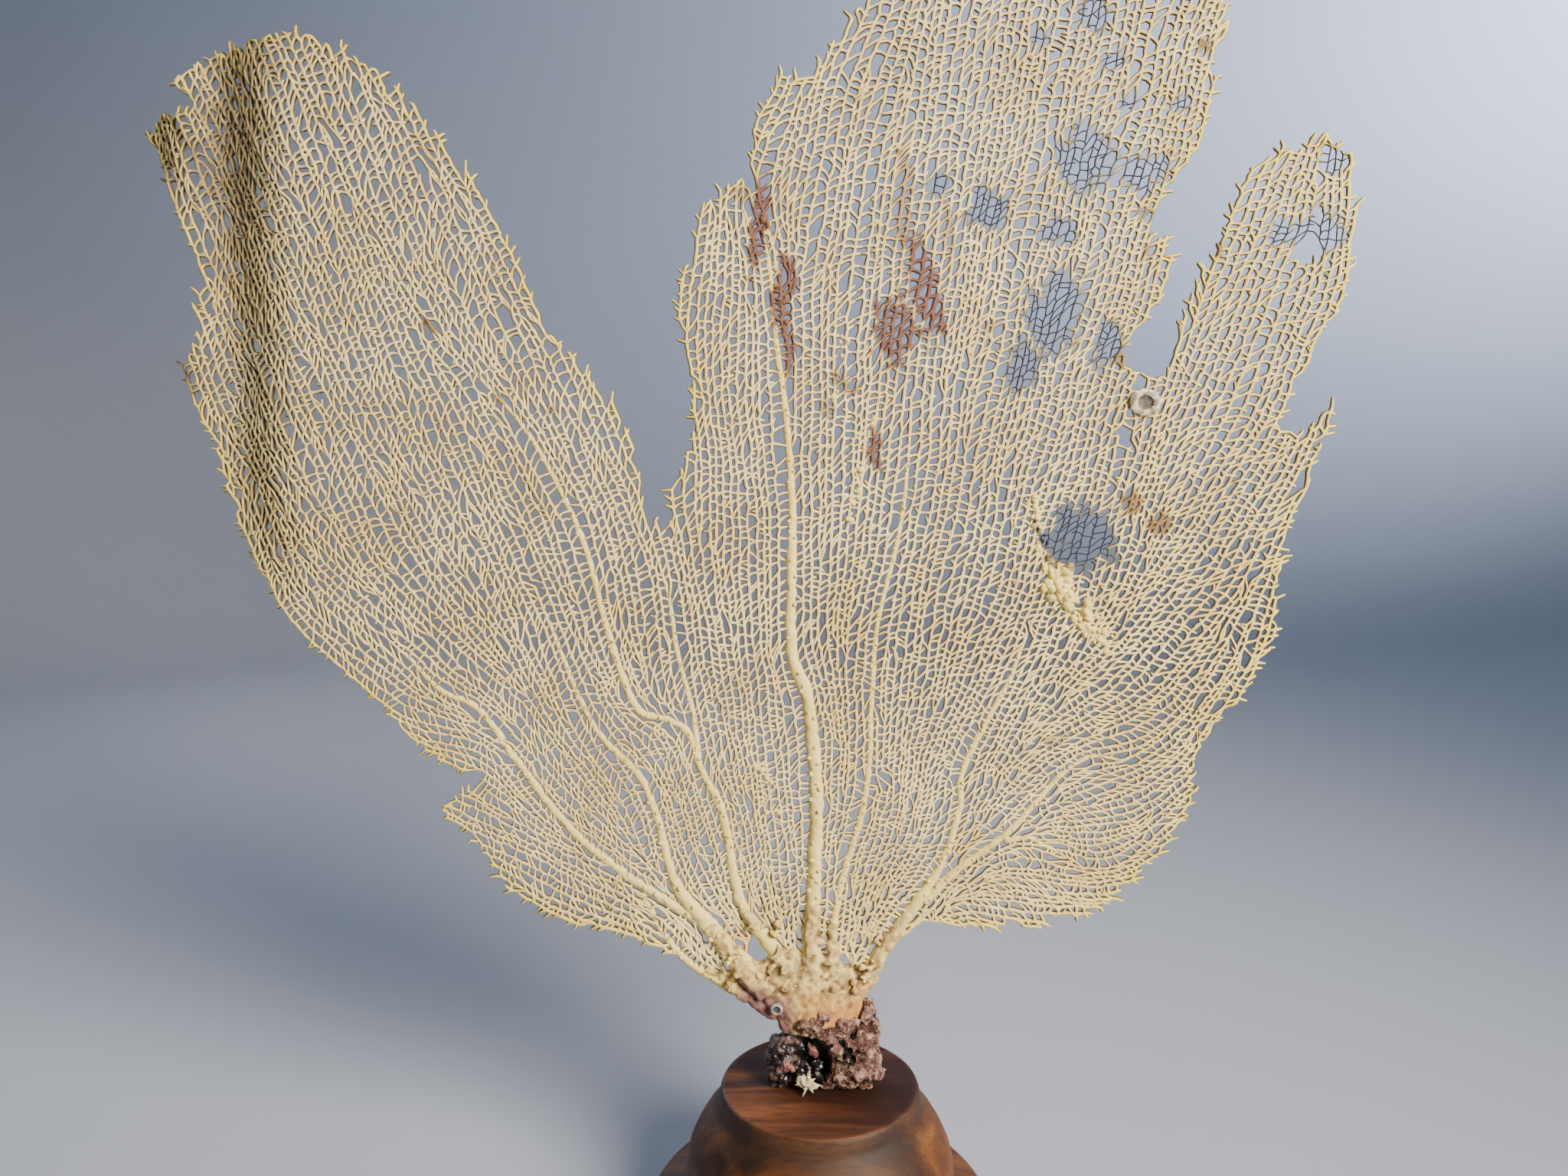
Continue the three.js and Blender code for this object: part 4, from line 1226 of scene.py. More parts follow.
def solidTwigs(owner):
    # the twigs of one branch as one skin: a ridge in front and behind, and mitred sides
    chance = random.Random(net["seed"] + owner)
    number, spots, width, mine = {}, [], [], []

    def local(k, twig):
        wide = widths[k] > net["ribWidth"]
        key = (k, twig) if wide else k    # each twig ends on its own inside a thick rib
        if key not in number:
            number[key] = len(spots)
            spots.append(places[k])
            width.append(widths[k])
        return number[key]

    for index, (a, b, kind) in enumerate(twigs):
        if min(widths[a], widths[b]) > net["ribWidth"]:
            continue    # the rib itself
        middle = (places[a] + places[b]) / 2
        at = ownerAt(*middle)
        if at < 0:
            at = max(ownerAt(*places[a]), ownerAt(*places[b]))
        if at < 0:
            at = nearestOwner(middle)
        if at == owner:
            mine.append((local(a, index), local(b, index), kind))
    spots, width = np.array(spots), np.array(width)
    x, z = sheetToX(spots[:, 0], spots[:, 1]), spots[:, 1]
    horn = patchAt("horn", x, z)
    size = np.array([chance.uniform(0.86, 1.16) for _ in spots])
    size *= 1 - 0.68 * horn
    half = net["halfWidth"] + net["trunkward"] * (1 - smooth(112, 180, z))
    half = np.maximum(half, np.where(width > 0, width / 2, 0)) * size
    half *= 1 - 0.12 * (1 - smooth(150, 300, z))
    half = np.where(width > net["ribWidth"], 0.6, half)
    deep = np.minimum(half * net["halfDepth"] / net["halfWidth"], 1.4)
    lift = net["unevenness"] * (np.array([chance.uniform(-1, 1) for _ in spots])
                                + 0.8 * ripple(x, z, 7, 0.9, np.sin))
    around = [[] for _ in spots]
    for a, b, kind in mine:
        dx, dz = spots[b] - spots[a]
        around[a].append((math.atan2(dz, dx), b, kind))
        around[b].append((math.atan2(-dz, -dx), a, kind))
    cornerOf, cornerSpot, cornerNode, tips = {}, [], [], []
    for node, ring in enumerate(around):
        ring.sort()
        s, z = spots[node]
        if len(ring) == 1:
            angle = ring[0][0]
            reach = half[node] * 0.7
            for side, turn in (("left", math.pi / 2), ("right", -math.pi / 2)):
                cornerOf[(node, ring[0][1], side)] = len(cornerSpot)
                cornerSpot.append((s + math.cos(angle + turn) * reach, z + math.sin(angle + turn) * reach))
                cornerNode.append(node)
            tips.append((node, ring[0][1], angle))
            continue
        for k, (angle, other, kind) in enumerate(ring):
            nextAngle, nextOther, nextKind = ring[(k + 1) % len(ring)]
            span = (nextAngle - angle) % (2 * math.pi)
            grow = half[node] * (1 + net["bolder"] * (kind + nextKind - 1))
            slant = abs(math.sin(span / 2))
            reach = grow / max(slant, 0.42) if span < math.pi else grow * min(1 / max(slant, 0.1), 1.12)
            bisector = angle + span / 2
            cornerOf[(node, other, "left")] = len(cornerSpot)
            cornerOf[(node, nextOther, "right")] = len(cornerSpot)
            cornerSpot.append((s + math.cos(bisector) * reach, z + math.sin(bisector) * reach))
            cornerNode.append(node)
    cornerSpot, cornerNode = np.array(cornerSpot), np.array(cornerNode)
    nodes, corners = len(spots), len(cornerSpot)
    shoulder = spots[cornerNode] + (cornerSpot - spots[cornerNode]) * 0.56
    tipSpot = np.array([(spots[n][0] - math.cos(a) * half[n], spots[n][1] - math.sin(a) * half[n])
                        for n, _, a in tips]).reshape(-1, 2)
    tipNode = np.array([n for n, _, _ in tips], int)
    flat = np.vstack([spots, spots, shoulder, cornerSpot, shoulder, tipSpot])
    raised = np.concatenate([lift + deep, lift - deep, lift[cornerNode] + 0.82 * deep[cornerNode],
                             lift[cornerNode], lift[cornerNode] - 0.82 * deep[cornerNode],
                             lift[tipNode]])
    points, _ = onSheet(flat[:, 0], flat[:, 1], raised)
    # painted shade on each twig's sides: how far round the side of its twig each point lies; less where
    # the sheet curls to the side
    _, facing = onSheet(spots[:, 0], spots[:, 1], np.zeros(nodes))
    frontal = 0.45 + 0.55 * smooth(0.45, 0.85, -facing[:, 1])
    twigSideShade = np.concatenate([np.zeros(2 * nodes + corners), np.ones(corners), np.zeros(corners),
                            np.full(len(tips), 0.3)])
    twigSideShade *= np.concatenate([frontal, frontal, frontal[cornerNode], frontal[cornerNode],
                             frontal[cornerNode], frontal[tipNode]])
    faces = []
    rowStart = [2 * nodes + k * corners for k in range(3)]
    for a, b, kind in mine:
        for p, q in ((a, b), (b, a)):
            atP, atQ = cornerOf[(p, q, "left")], cornerOf[(q, p, "right")]
            strip = [(p, q), *((start + atP, start + atQ) for start in rowStart), (nodes + p, nodes + q)]
            for (p0, q0), (p1, q1) in zip(strip, strip[1:]):
                faces += [(p0, q0, q1), (p0, q1, p1)]
    for k, (node, other, _) in enumerate(tips):
        end = 2 * nodes + 3 * corners + k
        left, right = cornerOf[(node, other, "left")], cornerOf[(node, other, "right")]
        ring = [node, *(start + left for start in rowStart), nodes + node,
                *(start + right for start in rowStart[::-1])]
        for first, second in zip(ring, ring[1:] + ring[:1]):
            faces.append((end, first, second))
    return points, np.array(faces), twigSideShade


def nearestOwner(spot):
    for reach in range(2, 12, 2):
        for turn in range(8):
            at = ownerAt(spot[0] + reach * math.cos(turn * math.pi / 4),
                         spot[1] + reach * math.sin(turn * math.pi / 4))
            if at > 0:
                return at
    return -1


rib = {
    "sides": 12,
    "step": 1.3,
    "flatness": 0.84,
    "bumps": 0.16,      # knobs, as a share of the radius
    "knob": 3.2,        # millimetres from knob to knob
    "grit": 1.3,        # millimetres from grain to grain, and their height as a share of the radius
    "gritHeight": 0.12,
}


def ribTube(stations):
    # one knobbly rib, closed at both ends
    line = sweep(stations, rib["step"])
    x, z = line[:, 0], line[:, 1]
    flatLine = np.stack([[xToSheet(a, b) for a, b in zip(x, z)], z], 1)
    middle, facing = onSheet(flatLine[:, 0], z, np.zeros(len(x)))
    along = np.gradient(middle, axis=0)
    along /= np.linalg.norm(along, axis=1)[:, None]
    side = np.cross(along, facing)
    side /= np.linalg.norm(side, axis=1)[:, None]
    width = np.minimum(line[:, 2], 6 + 0.55 * (line[:, 2] - 6))    # the web hides part of a thick foot
    radius = np.maximum(width / 2, 0.45)
    turns = np.arange(rib["sides"]) * 2 * math.pi / rib["sides"]
    points = []
    for k in range(len(x)):
        for turn in turns:
            way = side[k] * math.cos(turn) + facing[k] * math.sin(turn) * rib["flatness"]
            spot = middle[k] + way * radius[k]
            swell = noise.noise(Vector(spot / rib["knob"])) * rib["bumps"] * 2
            swell += noise.noise(Vector(spot / rib["grit"])) * rib["gritHeight"]
            points.append(middle[k] + way * (radius[k] * (1 + swell)))
    count, sides = len(x), rib["sides"]
    faces = []
    for k in range(count - 1):
        for m in range(sides):
            n = (m + 1) % sides
            a, b, c, d = k * sides + m, k * sides + n, (k + 1) * sides + n, (k + 1) * sides + m
            faces += [(a, b, c), (a, c, d)]
    points += [middle[0], middle[-1] + along[-1] * radius[-1] * 0.6]
    for m in range(sides):
        n = (m + 1) % sides
        faces.append((count * sides, n, m))
        faces.append((count * sides + 1, (count - 1) * sides + m, (count - 1) * sides + n))
    return np.array(points), np.array(faces)


def pebble(detail):
    # corners and faces of a round grain, to copy
    bpy.ops.mesh.primitive_ico_sphere_add(subdivisions=detail, radius=1)
    ball = bpy.context.active_object
    corners = np.array([v.co for v in ball.data.vertices])
    faces = np.array([p.vertices for p in ball.data.polygons])
    bpy.data.objects.remove(ball)
    return corners, faces


grain = pebble(1)
nodule = pebble(2)


def knob(centre, radius, chance, shape=nodule, rough=0.3):
    # a small lump of crust, rough all over
    corners, faces = shape
    turned = corners * np.array([chance.uniform(0.75, 1.25) for _ in range(3)])
    shift = Vector([chance.uniform(0, 50) for _ in range(3)])
    swell = np.array([1 + rough * noise.noise(Vector(c) * 1.7 + shift) * 2 for c in corners])
    return centre + turned * swell[:, None] * radius, faces


# crusts that grow on the blade: node, line of x and z, half width, count, smallest and largest radius
crusts = [
    ("branch_right_high", [[82, 311], [86, 292], [94, 272]], 2.2, 60, 0.6, 1.7),
    ("branch_right_high", [[90, 282], [97, 268], [104, 262]], 5.5, 120, 0.8, 2.4),
    ("branch_right_high", [[100, 264], [108, 257], [113, 253]], 3, 50, 0.6, 1.8),
    ("branch_centre_left", [[-24, 424], [-20, 404], [-14, 372]], 1.6, 40, 0.6, 1.5),
    ("branch_centre", [[10, 300], [16, 322], [20, 340]], 1.6, 34, 0.6, 1.5),
    ("branch_centre_left", [[4, 345], [7, 372], [2, 400]], 1.4, 26, 0.5, 1.3),
    ("branch_left_low", [[-19, 184], [-23, 203]], 3, 24, 0.6, 1.7),
    ("branch_left_inner", [[-66, 318], [-60, 300]], 3, 22, 0.6, 1.5),
    ("branch_left_inner", [[-72, 332], [-64, 318]], 2, 14, 0.6, 1.4),
]


def crustOn(line, halfWidth, count, small, large, chance):
    path = sweep(line, 1.0)
    parts = []
    for _ in range(count):
        x, z = path[chance.randrange(len(path))]
        x += chance.gauss(0, halfWidth * 0.5)
        z += chance.gauss(0, halfWidth * 0.5)
        radius = small + (large - small) * chance.random() ** 2
        s = xToSheet(x, z)
        if ownerAt(s, z) < 0:
            continue
        spot, _ = onSheet(np.array([s]), np.array([z]), np.array([chance.uniform(-0.1, 0.7)]))
        parts.append(knob(spot[0], radius, chance))
    return parts


def makeBranches(material):
    for owner, name in enumerate(bladeNodes[1:], 1):
        points, faces, twigSideShade = solidTwigs(owner)
        parts = [(points, faces)]
        chance = random.Random(owner * 17)
        for carrier, stations in ribs:
            if carrier != name:
                continue
            parts.append(ribTube(stations))
            for x, z, width in sweep(stations, 2.2):    # knobs of crust along the rib
                if chance.random() < 0.4 and width > 1.2:
                    s = xToSheet(x, z)
                    spot, _ = onSheet(np.array([s]), np.array([z]), np.array([width * 0.36]))
                    spot[0][0] += chance.uniform(-0.4, 0.4) * width
                    parts.append(knob(spot[0], chance.uniform(0.1, 0.22) * width ** 0.75 + 0.3, chance))
        for carrier, line, halfWidth, count, small, large in crusts:
            if carrier == name:
                parts += crustOn(line, halfWidth, count, small, large, chance)
        piece = meshObject(name + "_net", *joined(parts))
        paint(piece, len(points))
        # the twigs' sides carry painted shade
        sides = np.zeros(len(piece.data.vertices))
        sides[:len(twigSideShade)] = twigSideShade
        mark(piece, "twigSideShade", sides)
        hand(piece, material, "fan_net", name)
        print(name, "made:", len(piece.data.polygons), "triangles")


makeBranches(bleachedLimeCrust())


# ---- trunk

def lumpMesh(name, lumps, chance):
    # rough stones, given by their middles and half sizes, grown into one
    parts = []
    for x, y, z, halfX, halfY, halfZ in lumps:
        points, faces = knob(np.zeros(3), 1.0, chance, nodule, 0.16)
        parts.append((points * [halfX, halfY, halfZ] + [x, y, z], faces))
    return meshObject(name, *joined(parts))


def carve(piece, lumps, chance):
    cutter = lumpMesh("cutter", lumps, chance)
    remeshed(cutter, 0.5)
    applied(piece, "BOOLEAN", object=cutter, operation="DIFFERENCE")
    bpy.data.objects.remove(cutter)


trunk = {
    "grain": 0.75,
    "roughness": ((6.0, 2.0), (2.4, 1.0), (1.0, 0.4)),      # sizes and heights
    "foot": 91,         # the crust hides the trunk below this
    # flutes that run down from the ribs: x, z and width, and how far each stands forward
    "flutes": [
        ([[-46, 137, 6.5], [-34, 122, 8.5], [-24, 111, 10], [-16, 101, 10], [-13, 92, 7]], 0.8),
        ([[-31, 143, 4.5], [-21, 129, 6], [-12, 116, 8], [-8, 104, 9], [-6, 95, 8]], 1.6),
        ([[-3, 146, 6], [-4, 130, 7.5], [-3, 116, 9], [-1, 104, 10], [0, 92, 9]], 2.0),
        ([[5, 140, 3.5], [5, 128, 5], [6, 114, 6.5], [7, 100, 8]], 1.8),
        ([[36, 142, 5], [27, 128, 6.5], [18, 114, 8], [13, 102, 9], [11, 92, 9]], 1.0),
        ([[-46, 118, 3.5], [-36, 110, 5], [-26, 104, 7], [-18, 98, 8]], 0.2),
    ],
    # knobs of lime where the ribs meet: their number, ranges of x, z and size, and the least web
    # round each
    "knobs": (60, (-44, 26), (110, 138), (0.8, 1.8), 0.93),
    "holes": [(-25, 0, 129.3, 6.2, 15, 6.4), (-8, 0, 129, 2.3, 15, 2.3), (9.4, 0, 123.4, 4.1, 15, 2.5)],
}


def webAt(x, z):
    # how much of the blade lies round a place: less than 1 near a hole or a margin
    return float(sample(blade["web"], np.array([x]), np.array([z]))[0])


def makeTrunk(material):
    piece = cadCopy("trunk", "lime_trunk")
    editAll(piece)
    bpy.ops.mesh.bisect(plane_co=(0, 0, trunk["foot"] * mm), plane_no=(0, 0, 1), use_fill=True,
                        clear_inner=True)
    bpy.ops.object.mode_set(mode="OBJECT")
    extra = []
    for stations, forward in trunk["flutes"]:
        points, faces = ribTube(stations)
        points[:, 1] -= forward
        extra.append((points, faces))
    chance = random.Random(5)
    count, wide, tall, sizes, leastWeb = trunk["knobs"]
    for _ in range(count):
        x, z = chance.uniform(*wide), chance.uniform(*tall)
        if webAt(x, z) > leastWeb:
            lift = -2.2 - 2.6 * smooth(136, 108, z)
            extra.append(knob(np.array([x, lift, z]), chance.uniform(*sizes), chance))
    joinTo(piece, [meshObject("flutes", *joined(extra))])
    remeshed(piece, trunk["grain"])
    carve(piece, trunk["holes"], chance)
    applied(piece, "SMOOTH", factor=0.5, iterations=3)
    for size, height in trunk["roughness"]:
        roughen(piece, size, height)
    joinTo(piece, [meshObject("strayTwigs", *solidTwigs(0)[:2])])
    piece.data.shade_smooth()
    paint(piece)
    markHollows(piece, 5, 0.55)
    hand(piece, material, "fan_trunk", "trunk")
    print("trunk made:", len(piece.data.polygons), "faces")


makeTrunk(limeCrustedTrunk())


# ---- holdfast, crust and shells

def surfaceSpots(piece, count, chance):
    # random places on a mesh, larger faces more often
    mesh = piece.data
    areas = [p.area for p in mesh.polygons]
    picks = chance.choices(range(len(areas)), weights=areas, k=count)
    return [(np.array(mesh.polygons[k].center) / mm, np.array(mesh.polygons[k].normal)) for k in picks]


def strew(piece, count, small, large, shape, rough, chance):
    # grains stuck all over a piece
    parts = [knob(spot + way * 0.2, small + (large - small) * chance.random() ** 2, chance, shape, rough)
             for spot, way in surfaceSpots(piece, count, chance)]
    joinTo(piece, [meshObject("grains", *joined(parts))])


def trimToDisc(piece):
    # nothing reaches below the top of the stand
    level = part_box("stand")[1].z + 0.1 * mm
    for vertex in piece.data.vertices:
        vertex.co.z = max(vertex.co.z, level)


holdfast = {
    "grain": 0.5,
    # the pillar on the right, its spurs, and the shelf that laps over the foot of the trunk
    "crust": [(15, -1, 84, 9, 8, 9), (14.5, -1, 76, 10, 8.5, 8.5), (-1, -2.5, 97.5, 7, 6, 4.6),
              (-6, -2.5, 95.5, 4, 5, 3.2), (9, -2, 94.5, 7.5, 6.5, 5), (18.5, 0, 98, 3, 3.4, 7.5),
              (22.5, -1, 93, 2.8, 3, 3.2), (7, -2, 80, 3.2, 6, 9.5), (10, -5, 72.5, 9.5, 4.5, 3.6),
              (3.6, -6, 71.4, 3.2, 3, 2.6)],
    # the slit in the pillar, and the hollow under the shelf; their insides get painted shade
    "slits": [(9.4, -9, 88.6, 1.5, 6, 1.8), (11.2, -9, 85.6, 1.9, 7, 2.2), (13, -9, 82.4, 1.6, 6, 2),
              (-1.6, -9, 86, 4.6, 9, 5.6), (1.4, -9, 79, 3.2, 8, 6)],
    # the silted lump on the left and the black core behind the hollow
    "root": [(-15, 0, 80.5, 6.8, 6.5, 8), (-11, -1, 84.5, 5.5, 4.5, 4.2), (-16, -2, 74, 5.5, 5, 5),
             (-5, 2.5, 79, 6, 4.5, 9), (2, 3.5, 79, 5, 3.6, 9), (-1.4, -3.5, 78.4, 3.2, 2.8, 3.2),
             (-9, -2, 74, 5, 4.5, 4)],
    "flecks": [(-3.4, -4.5, 84.2, 2.3, 1.6, 2.1), (-2.2, -4.6, 82.6, 1.3, 1.2, 1.4),
               (-4.6, -4.3, 86.2, 1.2, 1.2, 1.5), (-13.8, -6.6, 78.4, 2.4, 1.3, 1.5),
               (-11.9, -6.4, 77.4, 1.4, 1.1, 1.2)],
}


def makeCrust(material):
    chance = random.Random(21)
    piece = cadCopy("holdfast_crust", "rubble_crust")
    joinTo(piece, [lumpMesh("lumps", holdfast["crust"], chance)])
    remeshed(piece, holdfast["grain"])
    carve(piece, holdfast["slits"], chance)
    roughen(piece, 7.0, 2.4)
    roughen(piece, 5.0, 1.0, "MUSGRAVE", 0.4)
    roughen(piece, 2.6, 1.2)
    roughen(piece, 1.0, 0.8)
    strew(piece, 60, 0.15, 0.6, grain, 0.45, chance)
    trimToDisc(piece)
    markHollows(piece, 6, 0.8)
    # painted shade inside the slit and the hollow under the shelf
    markInside(piece, "pocketShade", holdfast["slits"], 1.12)
    only(piece)
    bpy.ops.object.shade_smooth_by_angle(angle=math.radians(30))
    hand(piece, material, "crust", "holdfast_crust")
    print("crust made:", len(piece.data.polygons), "faces")


def makeRoot(material, fleckMaterial):
    chance = random.Random(33)
    piece = cadCopy("root_mass", "root_tangle")
    joinTo(piece, [lumpMesh("lumps", holdfast["root"], chance)])
    remeshed(piece, holdfast["grain"])
    roughen(piece, 6.0, 3.4)
    roughen(piece, 2.2, 1.8)
    strew(piece, 50, 0.2, 0.6, grain, 0.4, chance)
    trimToDisc(piece)
    markHollows(piece, 6, 0.8)
    piece.data.shade_smooth()
    hand(piece, material, "root", "root_mass")
    flecks = lumpMesh("pink_flecks", holdfast["flecks"], chance)
    remeshed(flecks, 0.4)
    roughen(flecks, 2.6, 1.8)
    roughen(flecks, 1.1, 0.8)
    flecks.data.shade_smooth()
    hand(flecks, fleckMaterial, "crust")
    print("root made:", len(piece.data.polygons), "faces")


chip = {
    "lumps": [(0, 0, 0, 3.4, 1.3, 2.6), (-2.2, 0.3, 0.8, 2, 1.1, 2.2), (2.6, 0.2, -1, 2.4, 1.1, 1.7)],
    # each spike: the way it points in degrees, its length and its half width at the root
    "spikes": [(78, 6.2, 1.5), (140, 4.8, 1.5), (188, 5.0, 1.4), (250, 5.6, 1.3), (305, 4.2, 1.6),
               (350, 6.0, 1.7), (30, 3.8, 1.3)],
    "lean": 20,         # degrees that it leans back on the root
    "grain": 0.28,
}


def makeChip(material):
    low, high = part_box("shell_chip")
    middle = (low + high) / 2
    chance = random.Random(8)
    spikes = []
    for turn, length, half in chip["spikes"]:
        bpy.ops.mesh.primitive_cone_add(vertices=7, radius1=half * mm, radius2=0.12 * mm,
                                        depth=length * mm, location=(0, 0, length / 2 * mm))
        spike = bpy.context.active_object
        settle(spike)
        spike.rotation_euler = (0, math.radians(90 - turn), 0)
        settle(spike)
        spikes.append(spike)
    piece = lumpMesh("star_chip", chip["lumps"], chance)
    joinTo(piece, spikes)
    piece.rotation_euler = (math.radians(-chip["lean"]), 0, 0)
    piece.location = middle
    settle(piece)
    remeshed(piece, chip["grain"])
    roughen(piece, 1.5, 1.1)
    markHollows(piece, 5, 0.4)
    piece.data.shade_smooth()
    hand(piece, material, "shell", "shell_chip")


shellRing = {
    "ridge": 0.09,      # how far its ribs stand out, as a share of its radius
    "floor": 0.4,       # how far the crater's floor is inset, as a share of the crater
    "front": 0.35,      # only what lies forward of this gets painted shade: its middle is 0, its back 0.5
    "dark": 0.8,        # painted shade up to this share of the crater, fading over the next
    "fade": 0.35,
}


def ringShell(name, node, material, outer, crater, depth, ridges):
    # a low cone facing the front, with a crater in its top and ribs down its sides
    low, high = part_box(node)
    middle = (low + high) / 2
    wide, tall = (high.x - low.x) / 2, (high.z - low.z) / 2
    bpy.ops.mesh.primitive_cone_add(vertices=ridges * 2, radius1=1, radius2=outer, depth=1,
                                    end_fill_type="NGON", rotation=(math.pi / 2, 0, 0))
    piece = bpy.context.active_object
    piece.name = piece.data.name = name
    settle(piece)
    bpy.ops.object.mode_set(mode="EDIT")
    bpy.ops.mesh.select_all(action="DESELECT")
    bpy.ops.object.mode_set(mode="OBJECT")
    top = min(piece.data.polygons, key=lambda p: p.center.y)
    top.select = True
    bpy.ops.object.mode_set(mode="EDIT")
    bpy.ops.mesh.inset(thickness=outer - crater)
    bpy.ops.mesh.extrude_region_move(TRANSFORM_OT_translate={"value": (0, depth, 0)})
    bpy.ops.mesh.inset(thickness=crater * shellRing["floor"])
    bpy.ops.object.mode_set(mode="OBJECT")
    for vertex in piece.data.vertices:
        turn = math.atan2(vertex.co.z, vertex.co.x)
        ridge = 1 + shellRing["ridge"] * math.cos(turn * ridges)
        vertex.co.x *= ridge
        vertex.co.z *= ridge
    applied(piece, "SUBSURF", levels=2, render_levels=2)
    # painted shade inside the crater, fading out over its rim; the flat back stays pale
    spots = vertexSpots(piece)
    across = np.hypot(spots[:, 0], spots[:, 2]) / crater
    inside = (shellRing["dark"] + shellRing["fade"] - across) / shellRing["fade"]
    mark(piece, "pocketShade", np.where(spots[:, 1] < shellRing["front"], inside, 0))
    reach = np.abs(spots).max(0)    # the smoothing has drawn the cone in
    piece.scale = (wide / reach[0], high.y - low.y, tall / reach[2])
    piece.location = middle
    settle(piece)
    piece.data.shade_smooth()
    hand(piece, material, "shell", node)


makeCrust(cementedRubble())
makeRoot(driedHoldfast(), seaShell("pinkCoralline", "#94685e", "#6b4038", 1.5))
makeChip(seaShell("wornStarChip", "#d9cfa8", "#8d8062", 1.6))
ringShell("barnacle_ring", "barnacle", seaShell("greyBarnacle", "#a9a69a", "#6b655f", 1.0), 0.62, 0.42,
          0.5, 9)
ringShell("cleft_shell", "attached_shell", seaShell("paleShell", "#cfc8ad", "#77705c", 2.0), 0.72, 0.4,
          0.7, 14)
print("holdfast and shells made")


# ---- stand

stand = {
    "sides": 128,
    # radius and height up the outside, from the foot to the rim of the disc
    "profile": [(71.2, 0), (72, 0.8), (72, 9), (71, 15), (68.5, 17.8), (58, 19.6), (56.2, 22),
                (55.9, 30), (55.4, 36), (54.2, 41), (51.6, 47), (48, 53.2), (44.6, 57.3), (42.6, 59.6),
                (41.8, 62), (41.2, 65.8), (40.6, 67.4), (39.4, 68)],
    "rings": (1.2, 12),     # edge loops on the disc, in from its rim
}


def makeStand(material):
    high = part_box("stand")[1]
    # the profile's size follows the CAD stand
    reach = high.x / mm / max(radius for radius, _ in stand["profile"])
    rise = high.z / mm / stand["profile"][-1][1]
    profile = [(radius * reach * mm, height * rise * mm) for radius, height in stand["profile"]]
    bpy.ops.mesh.primitive_circle_add(vertices=stand["sides"], radius=profile[0][0], fill_type="NGON",
                                      location=(0, 0, profile[0][1]))
    piece = bpy.context.active_object
    piece.name = piece.data.name = "turned_stand"
    settle(piece)
    editAll(piece)
    bpy.ops.mesh.flip_normals()
    for (radius, height), (nextRadius, nextHeight) in zip(profile, profile[1:]):
        bpy.ops.mesh.extrude_region_move(TRANSFORM_OT_translate={"value": (0, 0, nextHeight - height)})
        share = nextRadius / radius
        bpy.ops.transform.resize(value=(share, share, 1), center_override=(0, 0, nextHeight))
    for ring in stand["rings"]:
        bpy.ops.mesh.inset(thickness=ring * mm)
    bpy.ops.mesh.select_all(action="SELECT")
    bpy.ops.mesh.normals_make_consistent(inside=False)
    bpy.ops.object.mode_set(mode="OBJECT")
    bpy.ops.object.shade_smooth_by_angle(angle=math.radians(50))
    hand(piece, material, "stand_wood", "stand")
    print("stand made:", len(piece.data.polygons), "faces")


makeStand(turnedHardwood())


# ---- room, lights and camera

# metres
room = {
    "floor": "#a2a9b5",
    "sides": 96,
    "radius": 1.4,      # of the level part
    "curve": 1.2,       # radius of the curve from floor to wall
    "steps": 12,        # of that curve
    "wall": 1.6,
}


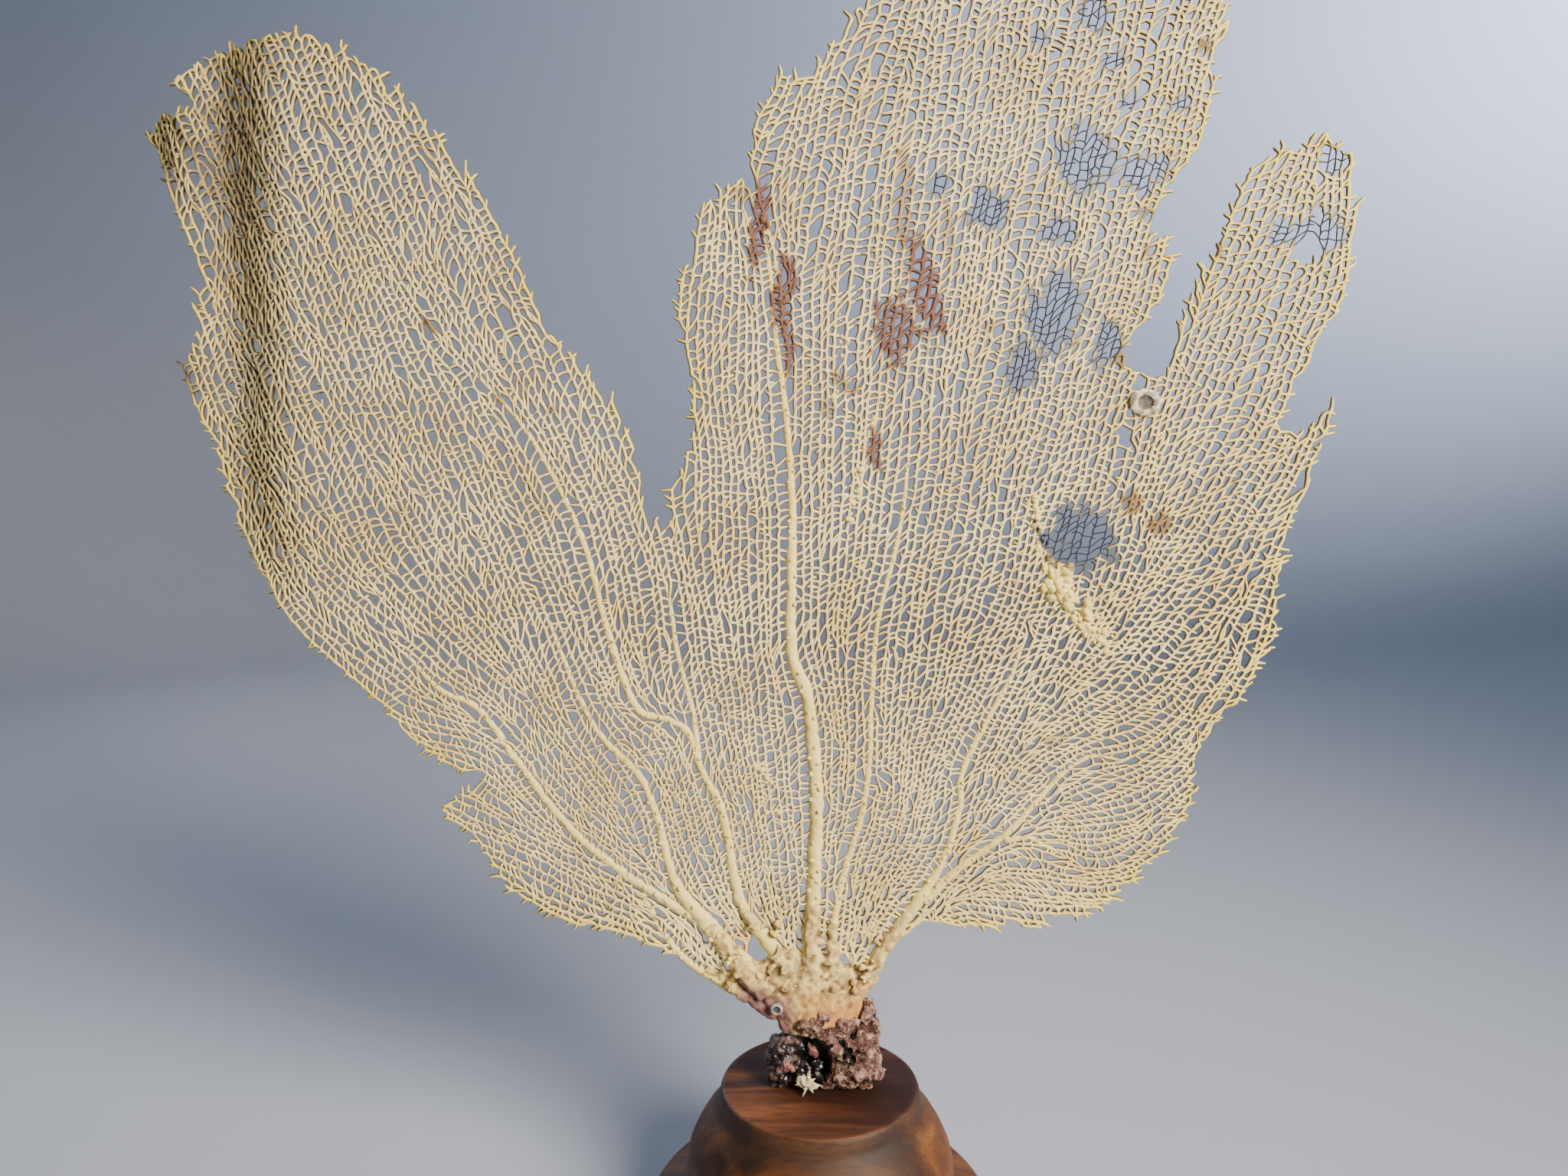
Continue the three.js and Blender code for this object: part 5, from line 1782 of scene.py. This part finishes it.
def makeRoom():
    # a pale floor that curves up all round
    last, curve = room["radius"], room["curve"]
    quarter = math.pi / 2
    bpy.ops.mesh.primitive_circle_add(vertices=room["sides"], radius=last, fill_type="NGON")
    floor = bpy.context.active_object
    floor.name = floor.data.name = "paleFloor"
    editAll(floor)
    bpy.ops.mesh.region_to_loop()
    half = quarter / room["steps"]
    for k in range(1, room["steps"] + 1):
        turn = k / room["steps"] * quarter
        radius = room["radius"] + curve * math.sin(turn)
        rise = curve * (math.cos(turn - half) - math.cos(turn + half))
        bpy.ops.mesh.extrude_edges_move(TRANSFORM_OT_translate={"value": (0, 0, rise)})
        bpy.ops.transform.resize(value=(radius / last, radius / last, 1))
        last = radius
    bpy.ops.mesh.extrude_edges_move(TRANSFORM_OT_translate={"value": (0, 0, room["wall"])})
    bpy.ops.object.mode_set(mode="OBJECT")
    floor.data.shade_smooth()
    floor.data.materials.append(mattPaper("palePaper", room["floor"]))


# metres, watts and degrees: place, aim, size, power, tone and spread of each lamp
lamps = {
    "windowLight": ((0.82, -0.86, 0.85), (0.0, 0.0, 0.27), 0.8, 12.5, "#fff4e4", 75),
    "wallLight": ((2.2, 0.9, 1.3), (1.7, 2.1, 1.1), 0.8, 130, "#f2f5ff", 105),
    "backFill": ((-1.5, 1.6, 1.1), (0.0, 0.0, 0.27), 0.9, 6, "#eef1ff", 75),
}


def softLight(name, spot, aim, size, power, tone, spread):
    bpy.ops.object.light_add(type="AREA", location=spot)
    lamp = bpy.context.active_object
    lamp.name = name
    lamp.data.shape = "DISK"
    lamp.data.size = size
    lamp.data.energy = power
    lamp.data.spread = math.radians(spread)
    lamp.data.color = colour(tone)[:3]
    lamp.rotation_euler = (Vector(aim) - Vector(spot)).to_track_quat("-Z", "Y").to_euler()
    lamp.visible_camera = False


makeRoom()
for lampName, settings in lamps.items():
    softLight(lampName, *settings)

daylight = {"tone": "#dbe0ea", "strength": 0.17}

world = bpy.data.worlds.new("softDaylight")
bpy.context.scene.world = world
world.use_nodes = True
background = world.node_tree.nodes["Background"]
background.inputs["Color"].default_value = colour(daylight["tone"])
background.inputs["Strength"].default_value = daylight["strength"]

view = {
    "spot": (-14.9, -473, 341.6),
    "tilt": 8,          # degrees down
    "lens": 28,
    "sensor": 36,
    "nearest": 10,      # what is nearer than this isn't drawn
}

bpy.ops.object.camera_add(location=[value * mm for value in view["spot"]],
                          rotation=(math.radians(90 - view["tilt"]), 0, 0))
camera = bpy.context.active_object
camera.name = "roomCamera"
camera.data.lens = view["lens"]
camera.data.sensor_width = view["sensor"]
camera.data.clip_start = view["nearest"] * mm
bpy.context.scene.camera = camera

print("all made")
